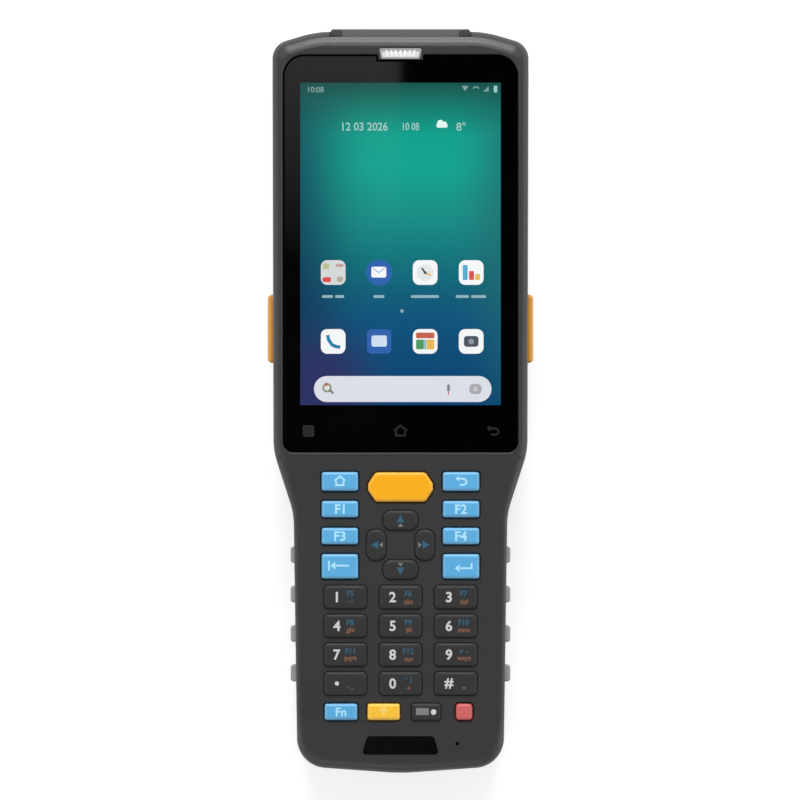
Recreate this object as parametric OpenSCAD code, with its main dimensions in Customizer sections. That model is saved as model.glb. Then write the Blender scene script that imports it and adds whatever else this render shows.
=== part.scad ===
// Handheld barcode data terminal, lying on its back.
// +X is to the right of the keypad, +Y towards the head, +Z out of the screen.

/* [Display] */
// Width of the cover glass
glass_w = 62; // [59:0.2:66]
// Length of the cover glass
glass_len = 105.5; // [98:0.5:112]
// Thickness of the cover glass
glass_t = 1.4; // [1.1:0.1:1.6]
// Margin of the display module beside its sides
lcd_side = 2.5; // [2.2:0.1:3.4]
// Margin of the display module below it
lcd_chin = 9.7; // [8:0.1:12]
// Margin of the display module above it
lcd_brow = 4.6; // [4.3:0.1:6]
// Thickness of the display module
lcd_t = 3.2; // [2.6:0.1:3.4]

/* [Outline] */
// Width of the housing beside the glass
side_band = 3.3; // [3:0.1:3.8]
// Length of the head above the glass
head_band = 6.7; // [6.5:0.1:7.8]
// How far each side leans in from the head to the shoulder
side_lean = 0.3; // [0.1:0.1:0.6]
// Length of the shoulders
shoulder_len = 16.5; // [14:0.5:19]
// Width of the grip below the shoulders
grip_w = 57.2; // [55:0.1:60]
// How far each side leans in along the grip
grip_lean = 1; // [0.4:0.1:1.4]
// Length of the sloping ends of the head's top edge
brow_len = 11.8; // [10:0.2:14]
// Drop of the sloping ends of the head's top edge
brow_drop = 3.5; // [3:0.1:4.2]
// Radius of the head's corners
head_r = 5; // [4.5:0.1:5.4]
// Radius of the shoulders
shoulder_r = 20; // [14:1:24]
// Radius of the tail's corners
tail_r = 8; // [6:0.2:9]
// Rise of the tail's edge from its middle to its corners
tip_rise = 1.95; // [1.2:0.05:2.4]

/* [Heights] */
// Depth of the waist in the back of the grip
waist = 1.2; // [0.8:0.1:1.4]
// Thickness of the battery pack
batt_t = 11.1; // [10:0.1:13]
// Thickness of the roof over the battery bay
roof_t = 1.2; // [1:0.1:1.6]
// Gap between the battery bay's roof and the main board
board_gap = 1.2; // [1:0.1:1.6]
// Height from the main board's underside to the parting line
board_room = 2; // [1.8:0.1:2.4]
// Height of the front housing
front_h = 10; // [9.6:0.1:11.5]
// Step from the display down to the keypad deck
deck_step = 0.6; // [0.4:0.1:0.8]

/* [Housing] */
// Side wall thickness
wall = 2.6; // [2.4:0.1:2.8]
// Floor thickness of the rear housing
floor_t = 2.2; // [2:0.1:2.4]
// Thickness of the keypad deck
deck_t = 1.6; // [1.4:0.1:1.7]
// Radius of the front edge
front_r = 3; // [2:0.2:3.4]
// Inset of the rear edge
rear_r = 4; // [3:0.2:4.4]
// Height of the rear edge curve
rear_h = 5; // [4:0.2:6]

/* [Keypad] */
// Height of the key tops above the deck
key_proud = 0.9; // [0.7:0.1:1.2]
// Travel of a key
key_travel = 0.6; // [0.4:0.1:0.7]
// Gap between a key and its opening
key_gap = 0.25; // [0.2:0.05:0.3]
// Width of a numeric key
digit_w = 11.2; // [10.5:0.1:11.8]
// Height of a numeric key
digit_h = 6; // [5.4:0.1:6.2]
// Column pitch of the numeric keys
digit_pitch_x = 14.75; // [14:0.05:15.2]
// Row pitch of the numeric keys
digit_pitch_y = 7.7; // [7.6:0.05:8.6]
// Width of a function key
func_w = 9.7; // [9:0.1:10.4]
// Height of a function key
func_h = 4.35; // [4:0.05:4.8]
// Distance of the function keys from the centre line
func_x = 16.2; // [15.8:0.1:17]
// Width of the scan key
scan_key_w = 17.9; // [16:0.1:19]
// Height of the scan key
scan_key_h = 8; // [7:0.1:8.6]
// Distance from the glass to the first row of keys
first_row = 8.2; // [7.6:0.1:10]
// Distance from the first row of keys to the numeric keys
pad_len = 30.9; // [30.5:0.1:34]
// Distance from the numeric keys to the last row of keys
last_row = 7.6; // [7:0.1:9]
// Distance from the last row of keys to the tail
tail_len = 16.4; // [15.5:0.1:20]

/* [Triggers] */
// Length of a side trigger
trig_len = 18.4; // [16:0.2:20]
// Height of a side trigger
trig_h = 5.6; // [5:0.1:5.8]
// How far the triggers stand out from the shoulders
trig_proud = 1.7; // [1.4:0.1:2]
// Travel of a trigger
trig_travel = 0.8; // [0.5:0.1:0.9]

/* [Head] */
// Thickness of the head bumper
bumper_t = 1.4; // [1.2:0.1:1.5]
// Length of the bumper's arms along the sides
bumper_arm = 25.4; // [24:0.2:28]
// Height of the head bumper
bumper_h = 17; // [15:0.2:17.6]
// How far the scan window bezel stands out from the head
bezel_proud = 0.6; // [0.4:0.1:0.8]
// Width of the scan window bezel
bezel_w = 37.8; // [36:0.2:40]
// Width of the scan window
scan_w = 28; // [26:0.2:30]
// Height of the scan window
scan_h = 10; // [9:0.1:10.4]

/* [Battery] */
// Width of the battery pack
batt_w = 43.8; // [40:0.2:45]
// Height of the battery's pivot above its outer face
pivot_h = 2.2; // [2.1:0.05:2.5]
// Radius of the battery's pivot lugs
lug_r = 1.1; // [0.9:0.05:1.2]
// Travel of the battery latch
latch_travel = 3; // [2:0.1:3.2]

/* [Grip] */
// Number of ribs on each side
rib_count = 4; // [3:1:4]
// Distance between ribs
rib_pitch = 10.6; // [9:0.1:11]
// Length of a rib
rib_len = 4.5; // [3.6:0.1:5]
// How far a rib stands out from the grip
rib_proud = 1.3; // [0.8:0.1:1.6]

/* [Fasteners] */
// Radius of the housing screws
screw_r = 1; // [0.8:0.05:1.1]
// Bore radius of the hand strap inserts
insert_bore_r = 1.25; // [1:0.05:1.5]
// Outer radius of the hand strap inserts
insert_r = 2; // [1.9:0.05:2.2]
// Distance between the hand strap inserts
insert_pitch = 24; // [20:0.5:26]

/* [Hidden] */
$fn = 48;
fit_gap = 0.1; // parts that are seated
run_gap = 0.3; // parts that move past each other
slip_gap = 0.2; // flat faces that slide
over = 1; // how far a cutter runs past a face
inset_step = 0.5; // small recesses and ledges

// --- overall sizes, from what the body holds ----------------------------------------------
head_w = glass_w + 2 * side_band;
shoulder_w = head_w - 2 * side_lean;
tail_w = grip_w - 2 * grip_lean;
split_z = waist + batt_t + run_gap + roof_t + board_gap + board_room;
body_t = split_z + front_h;
pad_rows = first_row + pad_len + 3 * digit_pitch_y + last_row;
body_len = bezel_proud + head_band + glass_len + pad_rows + tail_len;

y_top = body_len / 2 - bezel_proud;
y_bot = -body_len / 2;
deck_z = body_t - deck_step;
deck_under = deck_z - deck_t;
glass_z = body_t - fit_gap;
ledge_z = glass_z - glass_t;
ledge_under = ledge_z - deck_t;
lcd_z = ledge_z - lcd_t;
glass_y1 = y_top - head_band;
glass_y0 = glass_y1 - glass_len;
step_y1 = glass_y0 - 0.7; // the display step starts just below the glass
step_y0 = step_y1 - 1.4;

// --- outline of the body, seen from the front ---------------------------------------------
shoulder_y = glass_y0 - slip_gap;
brow_r = 30;
// The tail's two straight edges meet in a wide round, whose lowest point is at y_bot
tip_r = 60;
tip_steps = 3;
tip_turn = atan(2 * tip_rise / tail_w);
tip_y = y_bot - tip_r * (1 / cos(tip_turn) - cos(tip_turn / tip_steps));
// Right half, clockwise from the top: x, y, corner radius, segments
HALF = [
  [head_w / 2 - brow_len, y_top, brow_r, 3],
  [head_w / 2, y_top - brow_drop, head_r, 6],
  [shoulder_w / 2, shoulder_y, shoulder_r, 3],
  [grip_w / 2, shoulder_y - shoulder_len, shoulder_r, 3],
  [tail_w / 2, tip_y + tip_rise, tail_r, 7],
];
TAIL_TIP = [0, tip_y, tip_r, tip_steps];

function xy(q) = [q[0], q[1]];
function unit(v) = v / norm(v);
function flip_x(list) = [for (i = [len(list) - 1:-1:0]) [-list[i][0], list[i][1], list[i][2], list[i][3]]];

// Points of one rounded corner at b, between a and c
function bend(a, b, c, r, n) =
  r <= 0 ? [b] :
  let (
    u = unit(a - b),
    v = unit(c - b),
    half = acos(u * v) / 2,
    mid = b + unit(u + v) * r / sin(half),
    from = b + u * r / tan(half) - mid,
    to = b + v * r / tan(half) - mid,
    a0 = atan2(from[1], from[0]),
    turn = (atan2(to[1], to[0]) - a0 + 540) % 360 - 180
  )
  [for (i = [0:n]) mid + r * [cos(a0 + turn * i / n), sin(a0 + turn * i / n)]];

// A closed outline from corners given as x, y, radius, segments
function rounded(q) =
  let (n = len(q))
  [for (i = [0:n - 1]) each bend(xy(q[(i + n - 1) % n]), xy(q[i]), xy(q[(i + 1) % n]), q[i][2], q[i][3])];

// A rectangle with round corners, clockwise from the top right
function rrect(w, h, r, n = 3) =
  rounded([[w / 2, h / 2, r, n], [w / 2, -h / 2, r, n], [-w / 2, -h / 2, r, n], [-w / 2, h / 2, r, n]]);

// A clockwise outline moved inwards by d along its mitres
function inset(p, d) =
  let (n = len(p))
  [for (i = [0:n - 1])
    let (
      e1 = unit(p[i] - p[(i + n - 1) % n]),
      e2 = unit(p[(i + 1) % n] - p[i]),
      n1 = [e1[1], -e1[0]],
      n2 = [e2[1], -e2[0]]
    )
    p[i] + d * (n1 + n2) / (1 + n1 * n2)];

// Adds a point wherever the outline crosses the height y
function cut_at(p, y) =
  let (n = len(p))
  [for (i = [0:n - 1])
    let (a = p[i], b = p[(i + 1) % n])
    each (a[1] - y) * (b[1] - y) < 0 ? [a, a + (b - a) * (y - a[1]) / (b[1] - a[1])] : [a]];
function with_levels(p, ys, i = 0) = i == len(ys) ? p : with_levels(cut_at(p, ys[i]), ys, i + 1);
function lifted(table, dz) = [for (q = table) [q[0], q[1] + dz]];
function height(z, y) = is_list(z) ? lookup(y, z) : z;

OUTLINE = rounded(concat(HALF, [TAIL_TIP], flip_x(HALF)));

// Half the body's width at the height y
SIDE = [
  [y_bot, tail_w / 2],
  [shoulder_y - shoulder_len, grip_w / 2],
  [shoulder_y, shoulder_w / 2],
  [y_top, head_w / 2],
];
function side_x(y) = lookup(y, SIDE);

// Side profiles: y, z
TOP_PROFILE = [[step_y0, deck_z], [step_y1, body_t]];
UNDER_PROFILE = [[step_y0, deck_under], [step_y1, ledge_under]];
waist_ramp1 = 10;
waist_ramp0 = 4;
waist_y1 = glass_y0 + 25.3;
waist_y0 = y_bot + 9.5;
BACK_PROFILE = [
  [waist_y0, 0], [waist_y0 + waist_ramp0, waist],
  [waist_y1 - waist_ramp1, waist], [waist_y1, 0]
];

// --- shared solids ------------------------------------------------------------------------
// A closed solid through rings of one symmetric outline. A ring is its inset and its height,
// and the height is a number or a side profile.
module loft(p, rings) {
  n = len(p);
  m = n / 2;
  last = (len(rings) - 1) * n;
  points = [for (r = rings) let (q = inset(p, r[0]))
    for (i = [0:n - 1]) [q[i][0], q[i][1], height(r[1], p[i][1])]];
  sides = [for (k = [0:len(rings) - 2]) for (i = [0:n - 1])
    let (a = k * n + i, b = k * n + (i + 1) % n)
    each [[a, b, b + n], [a, b + n, a + n]]];
  caps = [for (i = [0:m - 2])
    let (r0 = i, r1 = i + 1, l0 = n - 1 - i, l1 = n - 2 - i)
    each [
      [last + l0, last + r0, last + r1], [last + l0, last + r1, last + l1],
      [r0, l0, l1], [r0, l1, r1]
    ]];
  polyhedron(points = points, faces = concat(sides, caps), convexity = 8);
}

module slab(p, z0, z1) {
  translate([0, 0, z0]) linear_extrude(z1 - z0) polygon(p);
}

module block(x0, x1, y0, y1, z0, z1) {
  translate([x0, y0, z0]) cube([x1 - x0, y1 - y0, z1 - z0]);
}

module post(x, y, r, z0, z1) {
  translate([x, y, z0]) cylinder(r = r, h = z1 - z0);
}

// --- screws and posts ---------------------------------------------------------------------
screw_seat = 2;
screw_head_r = 1.9;
screw_head_t = 1.4;
screw_drive_r = 0.8;
screw_end = split_z + 4.6;
post_r = 2.6;
seat_r = 1.9;
boss_t = 1;
insert_y = glass_y0 + 31.3;
insert_z0 = 0.2;
insert_z1 = 4.2;
post_gap = 1; // between a post and the side wall
head_screw_y = y_top - 14.9;
mid_screw_y = glass_y0 + 15.3;
tail_screw_y = y_bot + 10;
SCREWS = [
  for (s = [-1, 1]) for (y = [head_screw_y, mid_screw_y, tail_screw_y])
    [s * (side_x(y) - wall - post_r - post_gap), y]
];

// --- keypad -------------------------------------------------------------------------------
key_top = deck_z + key_proud;
flange_top = deck_under - slip_gap;
flange_t = 0.7;
flange_z = flange_top - flange_t;
mat_top = flange_z - key_travel - fit_gap;
kboard_t = 1;
mat_t = 2;
kboard_z = mat_top - mat_t - kboard_t;
dome_h = 0.3;
dome_top = kboard_z + kboard_t + dome_h;
stem_tip = dome_top + key_travel + fit_gap;
stem_r = 1.2;
dome_r = 1.7;
mat_hole_r = 1.95;
mat_margin = 3.4;
mat_side = wall + 1.2;
kboard_side = wall + 0.8;
kboard_tail = 5.5;
mic_size = 3;
mic_t = 1;
mic_hole_r = 0.5;
flange_lip = 0.55;
home_y = glass_y0 - first_row;
digit_y = home_y - pad_len;
last_y = digit_y - 3 * digit_pitch_y - last_row;
func_y1 = home_y - 7.4;
func_y2 = home_y - 14.6;
enter_y = home_y - 22.7;
scan_key_y = home_y - 1.5;
arrow_y = home_y - 16.95;
arrow_dx = 6.5;
arrow_dy = 6.6;
arrow_long = 9.2;
arrow_tall = 8;
arrow_slim = 5;
func_r = 0.6;
digit_r = 1;
home_h = 5;
enter_h = 6.5;
arrow_r = 2;
BLUE = "#56aadc";
BLACK = "#343435";

function digit(name, col, row) =
  [name, digit_pitch_x * (col - 1), digit_y - digit_pitch_y * row, digit_w, digit_h, digit_r, BLACK];

// Name, x, y, width, height, corner radius, colour
KEYS = concat(
  [
    ["home", -func_x, home_y, func_w, home_h, func_r, BLUE],
    ["back", func_x, home_y, func_w, home_h, func_r, BLUE],
    ["scan", 0, scan_key_y, scan_key_w, scan_key_h, func_r, "#faae20"],
    ["f1", -func_x, func_y1, func_w, func_h, func_r, BLUE],
    ["f2", func_x, func_y1, func_w, func_h, func_r, BLUE],
    ["f3", -func_x, func_y2, func_w, func_h, func_r, BLUE],
    ["f4", func_x, func_y2, func_w, func_h, func_r, BLUE],
    ["delete", -func_x, enter_y, func_w, enter_h, func_r, BLUE],
    ["enter", func_x, enter_y, func_w, enter_h, func_r, BLUE],
    ["up", 0, arrow_y + arrow_dy, arrow_long, arrow_slim, arrow_r, BLACK],
    ["down", 0, arrow_y - arrow_dy, arrow_long, arrow_slim, arrow_r, BLACK],
    ["left", -arrow_dx, arrow_y, arrow_slim, arrow_tall, arrow_r, BLACK],
    ["right", arrow_dx, arrow_y, arrow_slim, arrow_tall, arrow_r, BLACK],
  ],
  [for (i = [0:8]) digit(str(i + 1), i % 3, floor(i / 3))],
  [digit("point", 0, 3), digit("0", 1, 3), digit("hash", 2, 3)],
  [
    ["fn", -15.9, last_y, 8.7, func_h, func_r, BLUE],
    ["shift", -4.5, last_y, 8.6, func_h, func_r, "#f5be2d"],
    ["light", 6.85, last_y, 7.6, func_h, func_r, BLACK],
    ["power", 17, last_y, 4.4, func_h, func_r, "#d8585a"],
  ]
);

function scan_outline(w, h) =
  let (flat = w / 2 - 2.3, nose = 0.9)
  rounded([
    [flat, h / 2, 1.2, 2], [w / 2, nose, 1, 2], [w / 2, -nose, 1, 2], [flat, -h / 2, 1.2, 2],
    [-flat, -h / 2, 1.2, 2], [-w / 2, -nose, 1, 2], [-w / 2, nose, 1, 2], [-flat, h / 2, 1.2, 2]
  ]);
function key_outline(k) = k[0] == "scan" ? scan_outline(k[3], k[4]) : rrect(k[3], k[4], k[5]);

module key(k) {
  p = key_outline(k);
  color(k[6]) translate([k[1], k[2], 0]) {
    loft(p, [
      [0, flange_top - fit_gap], [0, key_top - 0.7], [0.15, key_top - 0.3],
      [0.5, key_top - 0.08], [0.9, key_top]
    ]);
    slab(inset(p, -flange_lip), flange_z, flange_top);
    post(0, 0, stem_r, stem_tip, flange_z);
  }
}

// Cuts the keypad's openings, or the holes round its stems
module key_openings(z0, z1) {
  for (k = KEYS) translate([k[1], k[2], 0]) slab(inset(key_outline(k), -key_gap), z0, z1);
}

module keypad_mat() {
  color("#5c5f63") difference() {
    intersection() {
      slab(inset(OUTLINE, mat_side), kboard_z + kboard_t, mat_top);
      block(-head_w, head_w, last_y - mat_margin, home_y + mat_margin, 0, body_t);
    }
    for (k = KEYS) post(k[1], k[2], mat_hole_r, 0, body_t);
  }
}

module keypad_board() {
  color("#1f5a3a") difference() {
    union() {
      intersection() {
        slab(inset(OUTLINE, kboard_side), kboard_z, kboard_z + kboard_t);
        block(-head_w, head_w, y_bot + kboard_tail, home_y + mat_margin + over, 0, body_t);
      }
      block(mic_x - mic_size / 2, mic_x + mic_size / 2, mic_y - mic_size / 2, mic_y + mic_size / 2,
        kboard_z + kboard_t, kboard_z + kboard_t + mic_t);
    }
    for (s = SCREWS) boss_space(s);
  }
}

module key_domes() {
  color("#c9c9c4") for (k = KEYS) translate([k[1], k[2], kboard_z + kboard_t])
    cylinder(r1 = dome_r, r2 = dome_r - 0.8, h = dome_h);
}

// --- openings in the front ----------------------------------------------------------------
grille_w1 = 11.4;
grille_w0 = 10.3;
grille_y1 = y_top - 4.6;
grille_y0 = grille_y1 - 2.8;
grille_web = 0.75;
grille_rim = 0.5;
grille_port_w = 9;
earpiece_w = 12;
earpiece_y1 = grille_y1 + 0.8;
earpiece_y0 = grille_y0 - 1.9;
earpiece_t = 2.5;
inlay_w1 = 17.6;
inlay_w0 = 20.6;
inlay_y1 = y_bot + 9.8;
inlay_y0 = y_bot + 5;
mic_x = 15.2;
mic_y = y_bot + 7.9;

function trapezoid(w1, w0, y1, y0, r) =
  rounded([[w1 / 2, y1, r, 2], [w0 / 2, y0, r, 2], [-w0 / 2, y0, r, 2], [-w1 / 2, y1, r, 2]]);
GRILLE = trapezoid(grille_w1, grille_w0, grille_y1, grille_y0, 0.4);
INLAY = trapezoid(inlay_w1, inlay_w0, inlay_y1, inlay_y0, 0.8);
glass_r1 = 5.3;
glass_r0 = 2.4;
GLASS = rounded([
  [glass_w / 2, glass_y1, glass_r1, 5], [glass_w / 2, glass_y0, glass_r0, 4],
  [-glass_w / 2, glass_y0, glass_r0, 4], [-glass_w / 2, glass_y1, glass_r1, 5]
]);
lcd_w = glass_w - 2 * lcd_side;
lcd_y0 = glass_y0 + lcd_chin;
lcd_y1 = glass_y1 - lcd_brow;

module cover_glass() {
  color("#0b0c0e") difference() {
    slab(GLASS, ledge_z, glass_z);
    block(-grille_w1 / 2 - grille_web, grille_w1 / 2 + grille_web, grille_y0 - grille_web, y_top,
      0, body_t + over);
  }
}

module lcd_module() {
  color("#2b3238") block(-lcd_w / 2, lcd_w / 2, lcd_y0, lcd_y1, lcd_z, ledge_z);
}

module earpiece_grille() {
  bars = 7;
  pitch = (grille_w0 - 2 * grille_rim) / (bars + 1);
  color("#d9dadb") difference() {
    slab(GRILLE, ledge_z, glass_z);
    for (i = [-bars / 2:bars / 2])
      block(i * pitch - pitch / 4, i * pitch + pitch / 4, grille_y0 + grille_rim, grille_y1 - grille_rim,
        0, body_t + over);
  }
}

module earpiece_speaker() {
  color("#4a4b4d") block(-earpiece_w / 2, earpiece_w / 2, earpiece_y0, earpiece_y1,
    ledge_under - earpiece_t, ledge_under);
}

module trim_inlay() {
  color("#0c0c0d") slab(INLAY, deck_z - inset_step, deck_z);
}

// --- head bumper and scan window ----------------------------------------------------------
seal_t = 0.7;
seal_inset = bumper_t + slip_gap;
bumper_z1 = split_z + 4.5;
bumper_z0 = bumper_z1 - bumper_h;
bumper_edge = 0.5;
bumper_y = y_top - bumper_arm;
notch_len = 2.4; // the shallow step below each arm
notch_depth = 0.25;
scan_z1 = split_z - seal_t - run_gap - 0.4; // clear of the seal
scan_z0 = scan_z1 - scan_h;
scan_rim = 1.1;
bezel_slope = 0.7;
bezel_end = 3.2; // length of the raised block at each end of the bezel
bezel_z0 = bumper_z0 + 2 * bumper_edge;
bezel_z1 = body_t - 2;
BEZEL = [
  [bezel_w / 2 - bezel_slope, y_top + bezel_proud], [bezel_w / 2, y_top - run_gap],
  [bezel_w / 2, y_top - bumper_t], [-bezel_w / 2, y_top - bumper_t],
  [-bezel_w / 2, y_top - run_gap], [-bezel_w / 2 + bezel_slope, y_top + bezel_proud]
];

module bumper_space(gap) {
  intersection() {
    difference() {
      slab(inset(OUTLINE, -over), bumper_z0 - gap, bumper_z1 + gap);
      slab(inset(OUTLINE, bumper_t), 0, body_t);
    }
    block(-head_w, head_w, bumper_y - gap, y_top + 2 * over, 0, body_t);
  }
}

// A shallow step in both sides, just below the bumper's arms
module side_notches() {
  for (s = [-1, 1])
    block(s * head_w / 2 - (s > 0 ? notch_depth : over), s * head_w / 2 + (s > 0 ? over : notch_depth),
      bumper_y - notch_len, bumper_y, bumper_z0, bumper_z1);
}

module scan_opening(w, z0, z1) {
  block(-w / 2, w / 2, y_top - 8, y_top + 2 * over, z0, z1);
}

module head_bumper() {
  color("#262627") difference() {
    union() {
      intersection() {
        loft(OUTLINE, [
          [bumper_edge, bumper_z0], [0, bumper_z0 + bumper_edge],
          [0, bumper_z1 - bumper_edge], [bumper_edge, bumper_z1]
        ]);
        block(-head_w, head_w, bumper_y, y_top + over, 0, body_t);
      }
      slab(BEZEL, bezel_z0, bezel_z1);
    }
    slab(inset(OUTLINE, bumper_t), 0, body_t);
    block(-bezel_w / 2 + bezel_end, bezel_w / 2 - bezel_end, y_top - 2 * bumper_t, y_top + over,
      bezel_z1 - inset_step, body_t);
    scan_opening(scan_w - 2 * scan_rim + slip_gap, scan_z0 + scan_rim - fit_gap,
      scan_z1 - scan_rim + fit_gap);
  }
}

module scan_window() {
  color("#3a0f14") {
    block(-scan_w / 2, scan_w / 2, y_top - wall + fit_gap, y_top - bumper_t, scan_z0, scan_z1);
    block(-scan_w / 2 + scan_rim, scan_w / 2 - scan_rim, y_top - bumper_t, y_top - slip_gap,
      scan_z0 + scan_rim, scan_z1 - scan_rim);
  }
}

engine_w = 21.2;
engine_len = 13.5;
engine_t = 11;
engine_z = split_z - 0.4 - engine_t;
engine_y1 = y_top - wall - run_gap;
engine_y0 = engine_y1 - engine_len;
lens_x = -5;
lens_r = 3.4;
lens_rim = 1;
aimer_x = 5;
aimer_w = 7;

module engine_bore(r, y0, y1) {
  translate([lens_x, y0, engine_z + engine_t / 2]) rotate([-90, 0, 0]) cylinder(r = r, h = y1 - y0);
}

module scan_engine() {
  color("#55585c") difference() {
    union() {
      block(-engine_w / 2, engine_w / 2, engine_y0, engine_y1, engine_z, engine_z + engine_t);
      engine_bore(lens_r, engine_y0 + over, engine_y1 + slip_gap);
    }
    engine_bore(lens_r - lens_rim, engine_y1 - lens_rim, engine_y1 + over);
    block(aimer_x - aimer_w / 2, aimer_x + aimer_w / 2, engine_y1 - lens_rim, engine_y1 + over,
      engine_z + engine_t / 4, engine_z + engine_t * 3 / 4);
  }
}

// --- front housing ------------------------------------------------------------------------
function side_of(s) = s[0] > 0 ? 1 : -1;

// Room for a boss and the web that ties it to the side wall
module boss_space(s) {
  post(s[0], s[1], post_r + run_gap, 0, body_t);
  edge = side_of(s) * head_w / 2;
  half = post_r / 2 + run_gap;
  block(min(s[0], edge), max(s[0], edge), s[1] - half, s[1] + half, 0, body_t);
}

module front_boss(s) {
  top = s[1] < home_y ? deck_under + over / 2 : lcd_z - run_gap;
  wall_x = side_of(s) * (side_x(s[1]) - wall + over);
  difference() {
    union() {
      post(s[0], s[1], post_r, frame_top, top);
      block(min(s[0], wall_x), max(s[0], wall_x), s[1] - post_r / 2, s[1] + post_r / 2,
        frame_top, top);
    }
    post(s[0], s[1], screw_r + fit_gap, frame_top - over, screw_end + slip_gap);
  }
}

module front_housing() {
  p = with_levels(OUTLINE, [step_y1, step_y0]);
  steps = 5;
  color("#3b3b3c") {
    difference() {
      loft(p, concat(
        [[0, split_z]],
        [for (i = [0:steps]) let (a = 90 * i / steps)
          [front_r * (1 - cos(a)), lifted(TOP_PROFILE, front_r * (sin(a) - 1))]]
      ));
      loft(p, [[wall, split_z - over], [wall, lifted(UNDER_PROFILE, -1)], [wall + 1, UNDER_PROFILE]]);
      difference() {
        slab(inset(GLASS, -slip_gap), ledge_z, body_t + over);
        block(-grille_w1 / 2 - grille_web + slip_gap, grille_w1 / 2 + grille_web - slip_gap,
          grille_y0 - grille_web + slip_gap, y_top, 0, body_t + over);
      }
      block(-lcd_w / 2 - run_gap, lcd_w / 2 + run_gap, lcd_y0 - run_gap, lcd_y1 + run_gap, split_z, body_t);
      slab(inset(GRILLE, -fit_gap), ledge_z, body_t + over);
      block(-grille_port_w / 2, grille_port_w / 2, grille_y0 + grille_rim, grille_y1 - grille_rim,
        split_z, body_t);
      slab(inset(INLAY, -fit_gap), deck_z - inset_step, body_t);
      post(mic_x, mic_y, mic_hole_r, split_z, body_t);
      key_openings(split_z, body_t + over);
      bumper_space(fit_gap);
      slab(inset(BEZEL, -fit_gap), bumper_z1 - over, body_t + over);
      side_notches();
    }
    for (s = SCREWS) front_boss(s);
  }
}

// --- frame, boards and what is on them ----------------------------------------------------
frame_t = 1.5;
frame_top = split_z + frame_t;
rib_t = 2;
lcd_rib_x = lcd_w / 2 - 8;
pad_rib_x = 20;
board_t = 1.2;
board_z = split_z - board_room;
board_side = wall + 1;
board_tail = 6;
bay_roof = board_z - board_gap;
can_w = 26;
can_len = 30;
can_t = 3;
switch_w = 3.4;
switch_len = 6;
switch_drop = 1.5;

module inner_frame() {
  color("#8b8e91") {
    difference() {
      slab(inset(OUTLINE, wall + run_gap), split_z, frame_top);
      for (s = SCREWS) post(s[0], s[1], screw_r + slip_gap, 0, body_t);
      block(-lcd_rib_x + 2 * rib_t, lcd_rib_x - 2 * rib_t, lcd_y0 + 4 * rib_t, (lcd_y0 + lcd_y1) / 2,
        0, body_t);
    }
    for (s = [-1, 1]) {
      block(s * lcd_rib_x - rib_t / 2, s * lcd_rib_x + rib_t / 2, lcd_y0, lcd_y1, frame_top, lcd_z);
      block(s * pad_rib_x - rib_t / 2, s * pad_rib_x + rib_t / 2, last_y, home_y, frame_top, kboard_z);
    }
  }
}

module main_board() {
  neck_y = engine_y0 - run_gap;
  color("#1d4f36") {
    difference() {
      intersection() {
        slab(inset(OUTLINE, board_side), board_z, board_z + board_t);
        block(-head_w, head_w, y_bot + board_tail, neck_y, 0, body_t);
      }
      for (s = SCREWS) post(s[0], s[1], post_r + run_gap, 0, body_t);
    }
    block(-can_w / 2, can_w / 2, insert_y - 4, insert_y - 4 + can_len, board_z - can_t, board_z);
    for (s = [-1, 1]) block(s * switch_x - switch_w / 2, s * switch_x + switch_w / 2,
      trig_y - switch_len / 2, trig_y + switch_len / 2, trig_z - switch_drop, board_z);
  }
}

bay_y1 = glass_y0 + 7.3; // the upper end of the battery bay
card_x = 9.5;
card_w = 15;
card_len = 16;
card_rim = 1.5;
card_y = bay_y1 - 24;
module card_socket() {
  color("#b9bcc0") difference() {
    block(card_x - card_w / 2, card_x + card_w / 2, card_y - card_len / 2, card_y + card_len / 2,
      bay_roof, board_z);
    block(card_x - card_w / 2 + card_rim, card_x + card_w / 2 - card_rim,
      card_y - card_len, card_y + card_len / 2 - 2 * card_rim, bay_roof - over, bay_roof + board_gap / 2);
  }
}

contact_w = 12;
contact_len = 4;
contact_y0 = bay_y1 - 8;
contact_pitch = 3;
contact_slot = 0.2;
module battery_contacts() {
  color("#2a2a2c") difference() {
    block(-contact_w / 2, contact_w / 2, contact_y0, contact_y0 + contact_len, bay_roof - roof_t, board_z);
    for (i = [-1, 0, 1]) block(i * contact_pitch - contact_slot / 2, i * contact_pitch + contact_slot / 2,
      contact_y0 + contact_len / 4, contact_y0 + contact_len * 3 / 4, 0, bay_roof - roof_t / 2);
  }
}

speaker_x = 14;
speaker_y = y_top - 40.9;
speaker_w = 15;
speaker_len = 11;
speaker_t = 3;
magnet_r = 4.4;
magnet_t = 0.6;
slot_len = 8;
slot_w = 0.8;
slot_pitch = 1.8;
module loudspeaker() {
  color("#4a4b4d") {
    block(speaker_x - speaker_w / 2, speaker_x + speaker_w / 2,
      speaker_y - speaker_len / 2, speaker_y + speaker_len / 2, floor_t, floor_t + speaker_t);
    post(speaker_x, speaker_y, magnet_r, floor_t + speaker_t, floor_t + speaker_t + magnet_t);
  }
}

camera_x = -14;
camera_y = y_top - 36.9;
camera_w = 8.8;
camera_t = 4.4;
barrel_lens_r = 2.9;
window_r = 4.8;
window_t = 1.1;
window_z = 0.3; // the windows lie this far inside the back
flash_x = camera_x + 10.5;
flash_r = 1.9;
module camera_module() {
  color("#1c1c1e") {
    block(camera_x - camera_w / 2, camera_x + camera_w / 2, camera_y - camera_w / 2, camera_y + camera_w / 2,
      floor_t, floor_t + camera_t);
    post(camera_x, camera_y, barrel_lens_r, window_z + window_t + run_gap, floor_t);
  }
}

module camera_window() {
  color("#101216") post(camera_x, camera_y, window_r, window_z, window_z + window_t);
}

module flash_lens() {
  color("#f0ead8") post(flash_x, camera_y, flash_r, window_z, floor_t);
}

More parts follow.
